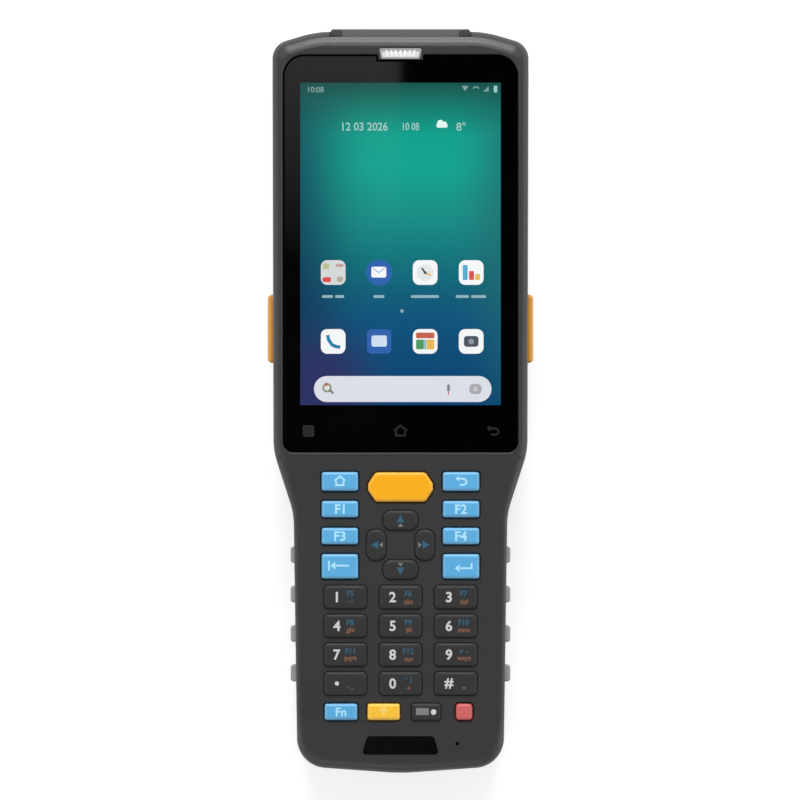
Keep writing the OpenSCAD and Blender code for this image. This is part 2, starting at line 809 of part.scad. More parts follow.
// --- rear housing -------------------------------------------------------------------------
bay_gap = 0.4;
bay_r = 1.2;
batt_r = 1.8;
pivot_y = y_bot + 16.9;
pivot_z = waist + pivot_h;
bay_y0 = pivot_y - pivot_h - run_gap;
batt_top = waist + batt_t;
bay_top = batt_top + run_gap;
lug_len = 1.6;
trig_y = glass_y0 + 32.7;
trig_z = board_z - 3.6;
trig_x = side_x(trig_y);
switch_x = trig_x - 7.7;
latch_w = 14;
latch_t = 1.8;
latch_z = waist + slip_gap;
latch_y0 = bay_y1 + run_gap;
latch_len = 7;
latch_lip = 1.2;
latch_lip_t = 0.8;
latch_y1 = latch_y0 + latch_len + latch_travel + run_gap;
head_floor_y = latch_y1 + slip_gap + wall / 2;

module housing_rim_groove(gap) {
  difference() {
    slab(inset(OUTLINE, seal_inset - gap), split_z - seal_t - gap, split_z + gap);
    slab(inset(OUTLINE, seal_inset + seal_t + gap), 0, body_t);
  }
}

module housing_seal() {
  color("#6b6e72") housing_rim_groove(0);
}

usb_w = 9;
usb_h = 3.3;
usb_len = 6.4;
usb_wall = 0.3;
usb_z = board_z - usb_h / 2;
port_w = 16;
port_z1 = usb_z + 3.15;
port_t = 1.6;
port_r = 0.9;
hinge_z = usb_z - 3.75;
hinge_y = y_bot + port_r + fit_gap;
usb_y0 = y_bot + port_t + 1.2;
plug_w = 7.2;
plug_h = 2;
plug_len = 1;
tab_w = 8;
tab_t = 0.6;

module stadium(w, h, y0, y1) {
  for (x = [-1, 1])
    translate([x * (w - h) / 2, y0, usb_z]) rotate([-90, 0, 0]) cylinder(r = h / 2, h = y1 - y0);
  block(-(w - h) / 2, (w - h) / 2, y0, y1, usb_z - h / 2, usb_z + h / 2);
}

module trigger_opening(side) {
  y = trig_len / 2 + run_gap;
  z = trig_h / 2 + run_gap;
  x0 = trig_x - wall - over;
  x1 = trig_x + over;
  block(min(side * x0, side * x1), max(side * x0, side * x1), trig_y - y, trig_y + y,
    trig_z - z, trig_z + z);
}

module rib_pocket(side, y) {
  x0 = pad_seat;
  x1 = grip_w / 2 + over;
  half = rib_len / 2 + fit_gap;
  block(min(side * x0, side * x1), max(side * x0, side * x1), y - half, y + half,
    pad_z0 - fit_gap, pad_z1 + fit_gap);
}

module rear_housing() {
  p = with_levels(OUTLINE, [waist_y1, waist_y1 - waist_ramp1, waist_y0 + waist_ramp0, waist_y0]);
  steps = 5;
  color("#343435") {
    difference() {
      loft(p, concat(
        [for (i = [0:steps]) let (a = 90 * i / steps)
          [rear_r * (1 - sin(a)), lifted(BACK_PROFILE, rear_h * (1 - cos(a)))]],
        [[0, split_z]]
      ));
      // the head and the space over the battery bay
      intersection() {
        slab(inset(OUTLINE, wall), floor_t, split_z + over);
        block(-head_w, head_w, head_floor_y, y_top, 0, body_t);
      }
      slab(inset(OUTLINE, wall), bay_roof, split_z + over);
      // the battery bay, with the seats of its pivot lugs
      translate([0, (bay_y0 + bay_y1) / 2, 0])
        slab(rrect(batt_w + 2 * bay_gap, bay_y1 - bay_y0, bay_r), -over, bay_top);
      translate([-batt_w / 2 - lug_len - run_gap, pivot_y, pivot_z]) rotate([0, 90, 0])
        cylinder(r = lug_r + slip_gap, h = batt_w + 2 * (lug_len + run_gap));
      block(-contact_w / 2 - fit_gap, contact_w / 2 + fit_gap,
        contact_y0 - fit_gap, contact_y0 + contact_len + fit_gap, waist, board_z);
      block(card_x - card_w / 2 + card_rim, card_x + card_w / 2 - card_rim,
        card_y - card_len / 2 + card_rim, card_y + card_len / 2 - 2 * card_rim, waist, board_z);
      // the latch
      block(-latch_w / 2 - run_gap, latch_w / 2 + run_gap, bay_y1 - over, latch_y1,
        -over, latch_z + latch_t + run_gap);
      block(-latch_w / 2 - latch_lip - run_gap, latch_w / 2 + latch_lip + run_gap, bay_y1 - over, latch_y1,
        latch_z + latch_t - latch_lip_t - slip_gap, latch_z + latch_t + run_gap);
      // the head's end
      bumper_space(fit_gap);
      side_notches();
      scan_opening(scan_w + slip_gap, scan_z0 - fit_gap, scan_z1 + fit_gap);
      // the triggers and the ribs
      for (s = [-1, 1]) {
        trigger_opening(s);
        for (i = [0:rib_count - 1]) rib_pocket(s, rib_y - i * rib_pitch);
      }
      // the port and its cover
      block(-port_w / 2 - slip_gap, port_w / 2 + slip_gap, y_bot - over, y_bot + port_t + slip_gap,
        hinge_z, port_z1 + slip_gap);
      block(-port_w / 2 - slip_gap, port_w / 2 + slip_gap, y_bot - over, hinge_y + port_r + run_gap,
        hinge_z - port_r - run_gap, hinge_z + port_r + run_gap);
      stadium(usb_w + slip_gap, usb_h + slip_gap, y_bot, usb_y0 + usb_len + slip_gap);
      block(-usb_w / 2 - fit_gap, usb_w / 2 + fit_gap, usb_y0, usb_y0 + usb_len + slip_gap, usb_z, board_z);
      // the camera, flash and loudspeaker
      post(camera_x, camera_y, window_r + fit_gap, -over, window_z + window_t);
      post(camera_x, camera_y, barrel_lens_r + fit_gap, 0, floor_t + over);
      post(flash_x, camera_y, flash_r + fit_gap, -over, floor_t + over);
      for (i = [-2:2]) let (y = speaker_y + i * slot_pitch)
        block(speaker_x - slot_len / 2, speaker_x + slot_len / 2, y - slot_w / 2, y + slot_w / 2,
          -over, floor_t + over);
      // the screws, the inserts and the seal
      for (s = SCREWS) {
        post(s[0], s[1], screw_r + fit_gap, 0, split_z + over);
        post(s[0], s[1], screw_head_r + slip_gap, -over, screw_seat);
      }
      for (s = [-1, 1]) post(s * insert_pitch / 2, insert_y, insert_r, -over, insert_z1);
      housing_rim_groove(0);
    }
    difference() {
      union() {
        for (s = SCREWS)
          post(s[0], s[1], post_r, (s[1] > head_floor_y ? floor_t : bay_roof) - fit_gap, split_z);
        for (s = [-1, 1]) {
          for (y = [bay_y1 - 34, bay_y0 + 11]) post(s * pad_rib_x, y, seat_r, bay_roof - fit_gap, board_z);
          post(s * (shoulder_w / 2 - 10), y_top - 49, seat_r, floor_t - fit_gap, board_z);
        }
        block(-engine_w / 3, engine_w / 3, engine_y0 + wall / 2, engine_y1 - wall / 2,
          floor_t - fit_gap, engine_z);
      }
      for (s = SCREWS) post(s[0], s[1], screw_r + fit_gap, 0, split_z + over);
    }
    for (s = [-1, 1]) difference() {
      post(s * insert_pitch / 2, insert_y, insert_r + boss_t, floor_t - fit_gap, insert_z1 + boss_t);
      post(s * insert_pitch / 2, insert_y, insert_r, 0, insert_z1);
    }
  }
}

module strap_inserts() {
  color("#c8a24a") for (s = [-1, 1]) difference() {
    post(s * insert_pitch / 2, insert_y, insert_r, insert_z0, insert_z1);
    post(s * insert_pitch / 2, insert_y, insert_bore_r, -over, insert_z1 + over);
  }
}

module housing_screws() {
  color("#9a9da1") for (s = SCREWS) difference() {
    union() {
      post(s[0], s[1], screw_head_r, screw_seat - screw_head_t, screw_seat);
      post(s[0], s[1], screw_r, screw_seat, screw_end);
    }
    post(s[0], s[1], screw_drive_r, screw_seat - screw_head_t - over, screw_seat - inset_step);
  }
}

// --- moving pieces ------------------------------------------------------------------------
end_slope = 1.1; // lets the pack's upper end swing past the bay's wall
end_chamfer = 1.5; // and its lower end past the bay's roof
module battery_pack() {
  y1 = bay_y1 - run_gap;
  y0 = pivot_y - pivot_h;
  side = concat(
    [[y1, waist], [y1 - end_slope, batt_top], [y0 + end_chamfer, batt_top], [y0, batt_top - end_chamfer]],
    [for (i = [0:6]) let (a = 15 * i) [pivot_y - pivot_h * cos(a), pivot_z - pivot_h * sin(a)]]
  );
  color("#2c2c2d") {
    intersection() {
      translate([-batt_w / 2, 0, 0]) rotate([90, 0, 90]) linear_extrude(batt_w) polygon(side);
      translate([0, (y0 + y1) / 2, 0]) slab(rrect(batt_w, y1 - y0, batt_r), 0, body_t);
    }
    translate([-batt_w / 2 - lug_len, pivot_y, pivot_z]) rotate([0, 90, 0])
      cylinder(r = lug_r, h = batt_w + 2 * lug_len);
  }
}

grooves = 4;
groove_w = 0.65;
module battery_latch() {
  z1 = latch_z + latch_t;
  color("#1f1f20") difference() {
    union() {
      block(-latch_w / 2, latch_w / 2, latch_y0, latch_y0 + latch_len, latch_z, z1);
      block(-latch_w / 2 - latch_lip, latch_w / 2 + latch_lip, latch_y0, latch_y0 + latch_len,
        z1 - latch_lip_t, z1);
    }
    for (i = [0:grooves - 1]) let (y = latch_y0 + groove_w * (2 * i + 2))
      block(-latch_w / 2 + latch_lip, latch_w / 2 - latch_lip, y, y + groove_w, 0, latch_z + inset_step);
  }
}

trig_bow = 0.1; // how much the side leans over a trigger's length
trig_flange_t = 0.8;
trig_lip = 0.6;
trig_slope = 1.6;
trig_stem = 2;
module trigger(side) {
  x1 = trig_x - wall - slip_gap - trig_bow;
  x0 = x1 - trig_flange_t;
  l = trig_len / 2;
  edge = trig_x - run_gap;
  top = trig_x + trig_proud;
  nose = l - trig_slope;
  cap = rounded([
    [nose, top, 1.2, 3], [l, edge, 0.3, 1], [l, x0, 0, 1],
    [-l, x0, 0, 1], [-l, edge, 0.3, 1], [-nose, top, 1.2, 3]
  ]);
  color("#f39a1e") mirror([side > 0 ? 0 : 1, 0, 0]) {
    translate([0, trig_y, trig_z]) {
      mirror([1, -1, 0]) slab(cap, -trig_h / 2, trig_h / 2);
      block(x0, x1, -l - trig_lip, l + trig_lip, -trig_h / 2 - trig_lip, trig_h / 2 + trig_lip);
      block(switch_x + switch_w / 2 + trig_travel + run_gap, x0 + over / 4,
        -trig_stem, trig_stem, -trig_stem / 2, trig_stem / 2);
    }
  }
}

module left_trigger() {
  trigger(-1);
}

module right_trigger() {
  trigger(1);
}

module port_cover() {
  color("#2a2a2b") {
    difference() {
      intersection() {
        slab(inset(OUTLINE, fit_gap), hinge_z, port_z1);
        block(-port_w / 2, port_w / 2, y_bot, y_bot + port_t, hinge_z, port_z1);
      }
      block(-tab_w / 2, tab_w / 2, y_bot - over, y_bot + tab_t, port_z1 - port_r, port_z1 + over);
    }
    translate([-port_w / 2, hinge_y, hinge_z]) rotate([0, 90, 0]) cylinder(r = port_r, h = port_w);
    block(-plug_w / 2, plug_w / 2, y_bot + port_t, y_bot + port_t + plug_len,
      usb_z - plug_h / 2, usb_z + plug_h / 2);
  }
}

tongue_w = 6.6;
tongue_t = 0.7;
module usb_socket() {
  y1 = usb_y0 + usb_len;
  color("#c4c7ca") {
    difference() {
      stadium(usb_w, usb_h, usb_y0, y1);
      stadium(usb_w - 2 * usb_wall, usb_h - 2 * usb_wall, usb_y0 - over, y1 - 2 * usb_wall);
    }
    block(-tongue_w / 2, tongue_w / 2, usb_y0 + tongue_t, y1 - usb_wall,
      usb_z - tongue_t / 2, usb_z + tongue_t / 2);
  }
}

pad_z1 = split_z - 1;
pad_z0 = pad_z1 - 9.2;
pad_seat = grip_w / 2 - 1.9;
pad_slope = 0.9;
rib_y = glass_y0 - 28;
module grip_pads() {
  out = grip_w / 2 - 0.4 + rib_proud;
  edge = grip_w / 2 - 0.6;
  l = rib_len / 2;
  nose = l - pad_slope;
  bump = rounded([[nose, out, 0.8, 3], [l, edge, 0.3, 1], [l, pad_seat, 0, 1], [-l, pad_seat, 0, 1],
    [-l, edge, 0.3, 1], [-nose, out, 0.8, 3]]);
  color("#6f7173") for (s = [0, 1]) mirror([s, 0, 0]) for (i = [0:rib_count - 1])
    translate([0, rib_y - i * rib_pitch, 0]) mirror([1, -1, 0]) slab(bump, pad_z0, pad_z1);
}

// --- drawing ------------------------------------------------------------------------------

front_housing();
rear_housing();
head_bumper();
inner_frame();
cover_glass();
lcd_module();
earpiece_grille();
earpiece_speaker();
loudspeaker();
trim_inlay();
keypad_mat();
keypad_board();
key_domes();
main_board();
card_socket();
scan_engine();
scan_window();
battery_pack();
battery_latch();
battery_contacts();
usb_socket();
port_cover();
camera_module();
camera_window();
flash_lens();
housing_screws();
grip_pads();
housing_seal();
strap_inserts();
left_trigger();
right_trigger();
for (k = KEYS) key(k);
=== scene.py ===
"""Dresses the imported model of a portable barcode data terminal.

Sizes and places are in millimetres, in the model's own frame: the terminal lies on its back,
+X is to the right of the keypad, +Y towards the head and +Z out of the display. They become
metres where a mesh is made.
"""

import logging
import math
from collections.abc import Sequence
from dataclasses import dataclass, field
from enum import Enum
from typing import ClassVar

import bpy
import numpy as np
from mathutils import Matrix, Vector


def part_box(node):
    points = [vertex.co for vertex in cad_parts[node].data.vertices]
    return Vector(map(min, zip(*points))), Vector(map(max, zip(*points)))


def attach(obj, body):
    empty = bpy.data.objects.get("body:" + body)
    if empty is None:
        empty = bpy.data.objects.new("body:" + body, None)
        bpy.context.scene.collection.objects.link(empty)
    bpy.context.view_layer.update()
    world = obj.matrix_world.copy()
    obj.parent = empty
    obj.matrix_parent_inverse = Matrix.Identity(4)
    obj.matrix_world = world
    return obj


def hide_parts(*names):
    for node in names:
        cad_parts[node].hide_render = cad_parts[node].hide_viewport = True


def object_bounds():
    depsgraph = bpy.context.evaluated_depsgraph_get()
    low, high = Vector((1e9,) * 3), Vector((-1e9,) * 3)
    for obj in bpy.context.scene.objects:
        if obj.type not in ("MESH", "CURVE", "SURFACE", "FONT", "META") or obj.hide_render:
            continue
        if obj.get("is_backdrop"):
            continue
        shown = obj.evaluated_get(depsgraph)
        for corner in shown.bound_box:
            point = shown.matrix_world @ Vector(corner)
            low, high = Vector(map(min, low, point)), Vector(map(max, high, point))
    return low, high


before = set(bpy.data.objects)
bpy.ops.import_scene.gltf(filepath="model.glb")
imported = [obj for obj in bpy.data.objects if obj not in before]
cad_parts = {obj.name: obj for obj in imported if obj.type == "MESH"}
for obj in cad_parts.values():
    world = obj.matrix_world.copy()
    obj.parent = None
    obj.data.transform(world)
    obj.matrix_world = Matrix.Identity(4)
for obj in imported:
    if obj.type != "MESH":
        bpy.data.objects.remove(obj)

LOG = logging.getLogger("terminal")
MM = 0.001
TINY = 1e-6
PURE_WHITE = (1.0, 1.0, 1.0, 1.0)
Array = np.ndarray
Shape = tuple[Array, list[list[int]]]
Span = tuple[float, float]
Piece = bpy.types.Object
Tree, Node, Socket = bpy.types.NodeTree, bpy.types.Node, bpy.types.NodeSocket


# --- nodes and colours ----------------------------------------------------------------------
def linear(code: str) -> tuple[float, float, float, float]:
    """Turns an sRGB hex colour to linear light, with full alpha.

    Args:
        code: a number sign and six hex digits.

    Returns:
        Red, green, blue and alpha.
    """
    srgb = np.array([int(code[i : i + 2], 16) for i in (1, 3, 5)]) / 255
    light = np.where(srgb <= 0.04045, srgb / 12.92, ((srgb + 0.055) / 1.055) ** 2.4)
    return (*(float(c) for c in light), 1.0)


def put(tree: Tree, kind: str, inputs: dict | None = None, **settings: object) -> Node:
    """Adds a node with its settings and links.

    Args:
        tree: the node tree.
        kind: the node's type.
        inputs: a value, or a socket to link from, for each input by name or number.
        **settings: the node's own properties.

    Returns:
        The new node.
    """
    made = tree.nodes.new(kind)
    for key, value in settings.items():
        setattr(made, key, value)
    for key, value in (inputs or {}).items():
        if isinstance(value, Socket):
            tree.links.new(value, made.inputs[key])
        else:
            made.inputs[key].default_value = value
    return made


def calc(tree: Tree, how: str, a: Socket | float, b: Socket | float) -> Socket:
    """The result of one step of arithmetic on two values."""
    return put(tree, "ShaderNodeMath", {0: a, 1: b}, operation=how).outputs[0]


def blend(tree: Tree, factor: Socket, first: Socket | tuple, second: tuple) -> Socket:
    """The mixture of two colours, where a factor of 1 gives the second."""
    mix = put(tree, "ShaderNodeMix", {0: factor, 6: first, 7: second}, data_type="RGBA")
    return mix.outputs[2]


def ranged(tree: Tree, value: Socket, span: Span, to: Span = (0.0, 1.0), **settings: str) -> Socket:
    """Maps a span of values to another one, and holds the ends of that outside the span."""
    inputs = {"Value": value, "From Min": span[0], "From Max": span[1], "To Min": to[0], "To Max": to[1]}
    return put(tree, "ShaderNodeMapRange", inputs, **settings).outputs[0]


def own_place(tree: Tree) -> Socket:
    """The object's own coordinates, in metres."""
    return put(tree, "ShaderNodeTexCoord").outputs["Object"]


def empty_tree(owner: bpy.types.Material | bpy.types.World) -> Tree:
    """The emptied node tree of a material or a world.

    Args:
        owner: what holds the tree.

    Returns:
        The tree, without a node.
    """
    owner.use_nodes = True
    owner.node_tree.nodes.clear()
    return owner.node_tree


def cloud(tree: Tree, size: float, detail: float = 2.0, low: float = 0.0, high: float = 1.0) -> Socket:
    """Soft noise over the object's own coordinates.

    Args:
        tree: the node tree.
        size: the width of one blot, in millimetres.
        detail: how many finer layers the noise has.
        low: the noise value that becomes 0.
        high: the noise value that becomes 1.

    Returns:
        A value from 0 to 1.
    """
    inputs = {"Vector": own_place(tree), "Scale": 1 / (size * MM), "Detail": detail}
    return ranged(tree, put(tree, "ShaderNodeTexNoise", inputs).outputs[0], (low, high))


def emboss(tree: Tree, shader: Node, height: Socket, depth: float) -> None:
    """Tilts the shading by a height from 0 to 1, which is so many millimetres deep."""
    bump = put(tree, "ShaderNodeBump", {"Height": height, "Distance": depth * MM, "Strength": 1.0})
    tree.links.new(bump.outputs["Normal"], shader.inputs["Normal"])


# --- finishes -------------------------------------------------------------------------------
@dataclass(frozen=True)
class Finish:
    """A material: its name, its colour and how it takes the light."""

    name: str
    colour: str
    roughness: float = 0.5
    specular: float = 0.5
    metallic: ClassVar[float] = 0.0

    def pattern(self, tree: Tree, shader: Node) -> None:
        """Adds what varies over the surface. The plain finish has nothing to add."""

    def material(self) -> bpy.types.Material:
        """Makes the material once, and finds it again after that.

        Returns:
            The material.
        """
        found = bpy.data.materials.get(self.name)
        if found:
            return found
        made = bpy.data.materials.new(self.name)
        made.diffuse_color = linear(self.colour)
        tree = empty_tree(made)
        inputs = {
            "Base Color": linear(self.colour),
            "Roughness": self.roughness,
            "Specular IOR Level": self.specular,
            "Metallic": self.metallic,
        }
        shader = put(tree, "ShaderNodeBsdfPrincipled", inputs)
        put(tree, "ShaderNodeOutputMaterial", {"Surface": shader.outputs["BSDF"]})
        self.pattern(tree, shader)
        return made

    def paint(self, tree: Tree, shader: Node, share: Socket, other: str) -> None:
        """Colours the shader with the finish's colour, and another where the share is high."""
        mixed = blend(tree, share, linear(self.colour), linear(other))
        tree.links.new(mixed, shader.inputs["Base Color"])

    def coat(self, shader: Node, weight: float, roughness: float) -> None:
        """Lays a clear coat over the shader."""
        shader.inputs["Coat Weight"].default_value = weight
        shader.inputs["Coat Roughness"].default_value = roughness


@dataclass(frozen=True)
class MouldedPlastic(Finish):
    """Injection-moulded plastic from a spark-eroded mould: a fine even grain that scatters light.

    The grain of such a mould is about 0.1 mm wide, and it is drawn wider so that it shows.
    """

    grain: float = 0.55
    depth: float = 0.02
    cast: str = "#3c3c3d"

    def pattern(self, tree: Tree, shader: Node) -> None:
        """Adds the grain, and faint clouds where the melt cooled unevenly.

        Args:
            tree: the material's node tree.
            shader: the shader whose inputs are fed.
        """
        flow = cloud(tree, 22.0, 3.0, 0.35, 0.8)  # clouds 22 mm wide
        self.paint(tree, shader, calc(tree, "MULTIPLY", flow, 0.22), self.cast)
        emboss(tree, shader, cloud(tree, self.grain, 1.0), self.depth)


@dataclass(frozen=True)
class RubberSkin(Finish):
    """Thermoplastic rubber moulded over a part: soft and dull, with pale dust specks and a painted sheen
    that lightens them where the surface turns away from the view.
    """

    dust_and_sheen: str = "#6a6a6a"

    def pattern(self, tree: Tree, shader: Node) -> None:
        """Paints pale specks of dust, stronger where the surface turns away from the view: the specks are
        dust, their brightening towards the edges is painted sheen.

        Args:
            tree: the material's node tree.
            shader: the shader whose inputs are fed.
        """
        # painted sheen: the facing value rises where the surface turns away from the view, and lifts the
        # pale dust colour there
        facing = put(tree, "ShaderNodeLayerWeight", {"Blend": 0.35}).outputs["Facing"]
        specks = cloud(tree, 1.1, 2.0, 0.4, 0.75)  # specks 1.1 mm wide
        self.paint(tree, shader, calc(tree, "MULTIPLY", facing, specks), self.dust_and_sheen)
        emboss(tree, shader, specks, 0.015)


@dataclass(frozen=True)
class SprayedCap(Finish):
    """A polycarbonate key cap, sprayed and clear-coated, with painted shading where it rolls over: a
    lighter tone on most caps, a darker one on the red.
    """

    rim_shading: str = "#a6d2ee"
    rim_shading_share: float = 0.8
    clear_coat: float = 0.25

    def pattern(self, tree: Tree, shader: Node) -> None:
        """Paints shading along the rolled edge, by the mesh's own rim value.

        Args:
            tree: the material's node tree.
            shader: the shader whose inputs are fed.
        """
        rim_shading = put(tree, "ShaderNodeAttribute", attribute_name="rim_shading").outputs["Fac"]
        self.paint(tree, shader, calc(tree, "MULTIPLY", rim_shading, self.rim_shading_share), self.rim_shading)
        emboss(tree, shader, cloud(tree, 0.9, 1.0), 0.004)  # the spray's ripple, 0.9 mm wide
        self.coat(shader, self.clear_coat, 0.3)


@dataclass(frozen=True)
class PrintedInk(Finish):
    """Pad-printed ink: a thin flat film with tiny pinholes in it."""

    under: str = "#39393a"

    def pattern(self, tree: Tree, shader: Node) -> None:
        """Lets a little of what lies under the ink through."""
        self.paint(tree, shader, cloud(tree, 0.25, 1.0, 0.62, 0.85), self.under)  # holes 0.25 mm wide


@dataclass(frozen=True)
class BackPrintedGlass(Finish):
    """Toughened glass with black print on its back: a deep black under a mirror-smooth face."""

    def pattern(self, tree: Tree, shader: Node) -> None:
        """Adds the faint unevenness of the print, which only shows in strong light."""
        self.paint(tree, shader, cloud(tree, 9.0, 2.0, 0.55, 1.0), "#0a0a0c")  # patches 9 mm wide


@dataclass(frozen=True)
class ScreenTint(Finish):
    """One tint of the panel's picture, seen through the same smooth glass."""

    def pattern(self, tree: Tree, shader: Node) -> None:
        """Adds the slight unevenness of the backlight."""
        wave = cloud(tree, 14.0, 1.0, 0.4, 0.9)  # waves 14 mm wide
        self.paint(tree, shader, calc(tree, "MULTIPLY", wave, 0.05), "#808890")


@dataclass(frozen=True)
class LitPanel(Finish):
    """The lit picture of a liquid crystal panel, bonded under the glass: soft pools of colour.

    Each stop is a height along Y and its colour. Each pool is x, y, reach along x, reach along
    y, colour and strength.
    """

    stops: tuple[tuple[float, str], ...] = ()
    pools: tuple[tuple[float, float, float, float, str, float], ...] = ()
    shade_from: float = 71.0
    shade_to: float = 85.5
    shade: str = "#1b4d49"

    def pattern(self, tree: Tree, shader: Node) -> None:
        """Runs the stops up the panel and lays each pool over them, then shades the top edge.

        A pool's strength falls off smoothly with the distance from its middle.

        Args:
            tree: the material's node tree.
            shader: the shader whose inputs are fed.
        """
        place = own_place(tree)
        along = put(tree, "ShaderNodeSeparateXYZ", {0: place}).outputs[1]
        (low, first), *between, (high, last) = self.stops
        ramp = put(tree, "ShaderNodeValToRGB", {0: ranged(tree, along, (low * MM, high * MM))})
        elements = ramp.color_ramp.elements
        elements[0].color, elements[1].color = linear(first), linear(last)
        for y, code in between:
            elements.new((y - low) / (high - low)).color = linear(code)
        colour = ramp.outputs[0]
        for x, y, wide, tall, code, strength in self.pools:
            inputs = {
                "Vector": place,
                "Location": (-x / wide, -y / tall, 0),
                "Scale": (1 / (wide * MM), 1 / (tall * MM), 0),
            }
            near = put(tree, "ShaderNodeMapping", inputs).outputs[0]
            far = put(tree, "ShaderNodeVectorMath", {0: near}, operation="LENGTH").outputs["Value"]
            fade = ranged(tree, far, (0.0, 1.0), (strength, 0.0), interpolation_type="SMOOTHERSTEP")
            colour = blend(tree, fade, colour, linear(code))
        top = ranged(tree, along, (self.shade_from * MM, self.shade_to * MM))
        tree.links.new(blend(tree, top, colour, linear(self.shade)), shader.inputs["Base Color"])


@dataclass(frozen=True)
class WorkedMetal(Finish):
    """Metal that was cast, pressed or turned: its tool marks run along one axis."""

    metallic: float = 0.0
    marks: tuple[float, float, float] = (1.2, 1.2, 1.2)
    depth: float = 0.01
    tint: str = "#77797c"

    def pattern(self, tree: Tree, shader: Node) -> None:
        """Stretches noise along the tool's path, in millimetres along each axis.

        Args:
            tree: the material's node tree.
            shader: the shader whose inputs are fed.
        """
        inputs = {"Vector": own_place(tree), "Scale": tuple(1 / (m * MM) for m in self.marks)}
        drawn = put(tree, "ShaderNodeMapping", inputs).outputs[0]
        noise = put(tree, "ShaderNodeTexNoise", {"Vector": drawn, "Scale": 1.0, "Detail": 2.0})
        self.paint(tree, shader, noise.outputs[0], self.tint)
        emboss(tree, shader, noise.outputs[0], self.depth)


@dataclass(frozen=True)
class SolderMask(Finish):
    """A printed circuit board under green solder mask: copper tracks show as paler lines."""

    track: str = "#3f7d57"

    def pattern(self, tree: Tree, shader: Node) -> None:
        """Draws tracks as the mortar of a brick pattern, 1.3 mm apart.

        Args:
            tree: the material's node tree.
            shader: the shader whose inputs are fed.
        """
        inputs = {
            "Vector": own_place(tree),
            "Color1": linear(self.colour),
            "Color2": linear(self.colour),
            "Mortar": linear(self.track),
            "Scale": 1 / (2.6 * MM),  # two rows of tracks in 2.6 mm
            "Mortar Size": 0.03,
            "Brick Width": 2.2,
            "Row Height": 0.5,
        }
        tracks = put(tree, "ShaderNodeTexBrick", inputs, offset=0.37)
        tree.links.new(tracks.outputs["Color"], shader.inputs["Base Color"])
        emboss(tree, shader, tracks.outputs["Fac"], 0.03)


@dataclass(frozen=True)
class ClearWindow(Finish):
    """Polished polycarbonate with a tint: a hard gloss, and depth below it."""

    ring: float = 0.0

    def pattern(self, tree: Tree, shader: Node) -> None:
        """Adds the fine rings of a Fresnel lens where the window has them.

        Args:
            tree: the material's node tree.
            shader: the shader whose inputs are fed.
        """
        self.coat(shader, 0.6, 0.03)
        if self.ring:
            # the wave node turns by 20 radians in one unit, so a ring's width is in mm a radian
            inputs = {"Vector": own_place(tree), "Scale": 1 / (self.ring * 20 * MM)}
            rings = put(tree, "ShaderNodeTexWave", inputs, wave_type="RINGS")
            emboss(tree, shader, rings.outputs["Fac"], 0.08)
        else:
            depth = cloud(tree, 3.0, 2.0, 0.5, 1.0)  # clouds 3 mm wide
            self.paint(tree, shader, calc(tree, "MULTIPLY", depth, 0.3), "#26262a")


PANEL_STOPS = (
    (0.0, "#0f4371"), (12.0, "#104a75"), (21.0, "#12517a"), (28.0, "#145b77"),
    (38.0, "#157279"), (50.0, "#1b8b83"), (63.0, "#159f8d"), (86.0, "#12937f"),
)
PANEL_POOLS = (
    (-35.0, 62.0, 33.0, 90.0, "#104c5c", 1.0),
    (-37.0, 18.0, 32.0, 62.0, "#16365a", 1.0),
    (34.0, 52.0, 24.0, 90.0, "#22686c", 0.85),
    (-21.0, 3.0, 22.0, 25.0, "#2f3262", 1.0),
)
FINE_LINES = (0.3, 4.0, 1.0)


